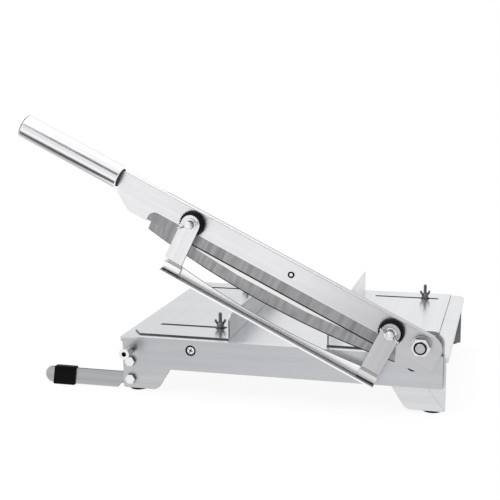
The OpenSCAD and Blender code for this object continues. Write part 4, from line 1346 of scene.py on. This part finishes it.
@dataclass
class Studio:
    """Camera, lamps, floor and the surroundings that the metal reflects."""
    focal: float = 71.846
    sensor: float = 36.0
    place: Vector = field(default_factory=lambda: Vector((285.998, -1094.821, 351.080)) * MM)
    yaw: float = math.radians(-15.218)
    pitch: float = math.radians(10.720)
    roll: float = math.radians(0.590)
    aim: Vector = field(default_factory=lambda: Vector((0.0, 0.0, 0.08)))
    lamps: tuple = (("key_lamp", (-0.9, -1.0, 1.5), 1.2, 8.0), ("fill_lamp", (1.2, -0.9, 1.0), 1.4, 3.0),
                    ("top_lamp", (0.0, 0.5, 1.8), 1.6, 6.0))
    # Painted shadows on the floor, seen only in reflections: middle, half size and darkest level.
    blobs: tuple = (((0.02, 0.02), (0.21, 0.17), 0.70), ((-0.50, -0.36), (0.22, 0.20), 0.08),
                    ((-0.48, -0.02), (0.18, 0.16), 0.55))
    front_levels: tuple[Pair, ...] = ((0.0, 0.5), (0.49, 0.8), (0.67, 0.95), (0.72, 0.10), (0.80, 0.14),
                                      (0.87, 1.0), (1.0, 1.0))
    back_levels: tuple[Pair, ...] = ((0.0, 0.5), (0.49, 0.9), (0.62, 0.98), (0.80, 0.85), (1.0, 1.0))

    def camera(self) -> None:
        """Sets the camera where the photograph was taken."""
        ahead = Vector((math.sin(self.yaw) * math.cos(self.pitch), math.cos(self.yaw) * math.cos(self.pitch),
                        -math.sin(self.pitch)))
        right = Vector((math.cos(self.yaw), -math.sin(self.yaw), 0.0))
        down = ahead.cross(right)
        side = right * math.cos(self.roll) + down * math.sin(self.roll)
        low = down * math.cos(self.roll) - right * math.sin(self.roll)
        bpy.ops.object.camera_add()
        camera = bpy.context.object
        camera.name = "camera"
        camera.data.lens = self.focal
        camera.data.sensor_width = self.sensor
        turn = Matrix((side, -low, -ahead)).transposed().to_4x4()
        camera.matrix_world = Matrix.Translation(self.place) @ turn
        bpy.context.scene.camera = camera

    def lamp(self, name: str, place: Triple, size: float, power: float) -> None:
        """Adds a soft square lamp that faces the object.

        Args:
            name: lamp's name.
            place: where it hangs, in metres.
            size: its side.
            power: its power in watts.
        """
        bpy.ops.object.light_add(type="AREA", location=place)
        lamp = bpy.context.object
        lamp.name = name
        lamp.data.shape = "SQUARE"
        lamp.data.size = size
        lamp.data.energy = power
        lamp.rotation_euler = (self.aim - Vector(place)).to_track_quat("-Z", "Y").to_euler()

    @staticmethod
    def blob(bench: NodeBench, place: Socket, centre: Pair, size: Pair, level: float) -> Socket:
        """Adds a painted shadow on the floor: a soft dark oval.

        Args:
            bench: helper on the floor's tree.
            place: object coordinates.
            centre: its middle in x and y.
            size: its half width and half depth.
            level: level at its middle.

        Returns:
            The level's socket.
        """
        shift = (-centre[0], -centre[1], 0.0)
        moved = bench.add("VectorMath", {0: place, 1: shift}, operation="ADD").outputs[0]
        reach = bench.length(bench.scaled(moved, (1 / size[0], 1 / size[1], 1.0)))
        return bench.spread(reach, (0.75, 1.15), (level, 1.0))

    def floor(self) -> None:
        """Lays the pale floor: white to the camera with a soft shadow, and in reflections darker towards the
        right, with painted shadows.
        """
        bpy.ops.mesh.primitive_circle_add(vertices=96, radius=6.0, fill_type="NGON", location=(0, 0, 0))
        floor = bpy.context.object
        floor.name = "floor"
        material = bpy.data.materials.new("pale_floor")
        bench = NodeBench.clean(material)
        place = bench.add("TexCoord").outputs["Object"]
        pale = bench.add("BsdfDiffuse", {"Color": (0.10, 0.10, 0.10, 1.0)})
        glow = bench.add("Emission", {"Color": WHITE, "Strength": 0.92})
        seen = bench.add("AddShader", {0: pale.outputs[0], 1: glow.outputs[0]})
        white = bench.add("Emission", {"Color": WHITE, "Strength": 1.0})
        far = bench.spread(bench.length(place), (0.35, 0.8), (0.0, 1.0))
        shown = bench.add("MixShader", {0: far, 1: seen.outputs[0], 2: white.outputs[0]})
        level = bench.spread(bench.add("SeparateXYZ", {0: place}).outputs["X"], (-0.6, 0.5), (1.04, 0.80))
        for centre, size, dark in self.blobs:
            level = bench.math("MULTIPLY", level, self.blob(bench, place, centre, size, dark))
        mirrored = bench.add("Emission", {"Color": bench.grey(level), "Strength": 1.0})
        mixed = bench.add("MixShader", {0: bench.add("LightPath").outputs["Is Camera Ray"],
                                        1: mirrored.outputs[0], 2: shown.outputs[0]})
        bench.add("OutputMaterial", {"Surface": mixed.outputs[0]})
        floor.data.materials.append(material)

    def surroundings(self) -> None:
        """Fills the world: white to the camera, and a banded studio for the metal to reflect."""
        world = bpy.data.worlds.new("studio")
        bpy.context.scene.world = world
        bench = NodeBench.clean(world)
        parts = bench.add("SeparateXYZ", {0: bench.add("TexCoord").outputs["Generated"]}).outputs
        height = bench.add("MapRange", {"Value": parts["Z"], "From Min": -1.0, "From Max": 1.0}).outputs[0]
        side = bench.spread(parts["Y"], (-0.25, 0.25), (0.0, 1.0))
        front, back = bench.ramp(height, self.front_levels), bench.ramp(height, self.back_levels)
        level = bench.tint("MIX", side, front, back)
        across = bench.spread(parts["X"], (0.30, 0.85), (1.0, 0.30))
        graded = bench.tint("MULTIPLY", 1.0, level, bench.grey(across))
        studio = bench.add("Background", {"Color": graded, "Strength": 1.0})
        white = bench.add("Background", {"Color": WHITE, "Strength": 1.0})
        mixed = bench.add("MixShader", {0: bench.add("LightPath").outputs["Is Camera Ray"],
                                        1: studio.outputs[0], 2: white.outputs[0]})
        bench.add("OutputWorld", {"Surface": mixed.outputs[0]})

    def build(self) -> None:
        """Sets up the whole studio."""
        self.camera()
        self.floor()
        self.surroundings()
        for lamp in self.lamps:
            self.lamp(*lamp)
        bpy.context.scene.view_settings.view_transform = "Standard"


def main() -> None:
    """Builds every sub-assembly and the studio."""
    logging.basicConfig(level=logging.INFO, format="%(name)s: %(message)s")
    for part in (Studio(), TableAssembly(), LowerBlade(), PivotAssembly(), SideSupport(), FenceSet(),
                 LeverArm(), Handle(), Guard()):
        part.build()


if __name__ == "__main__":
    main()
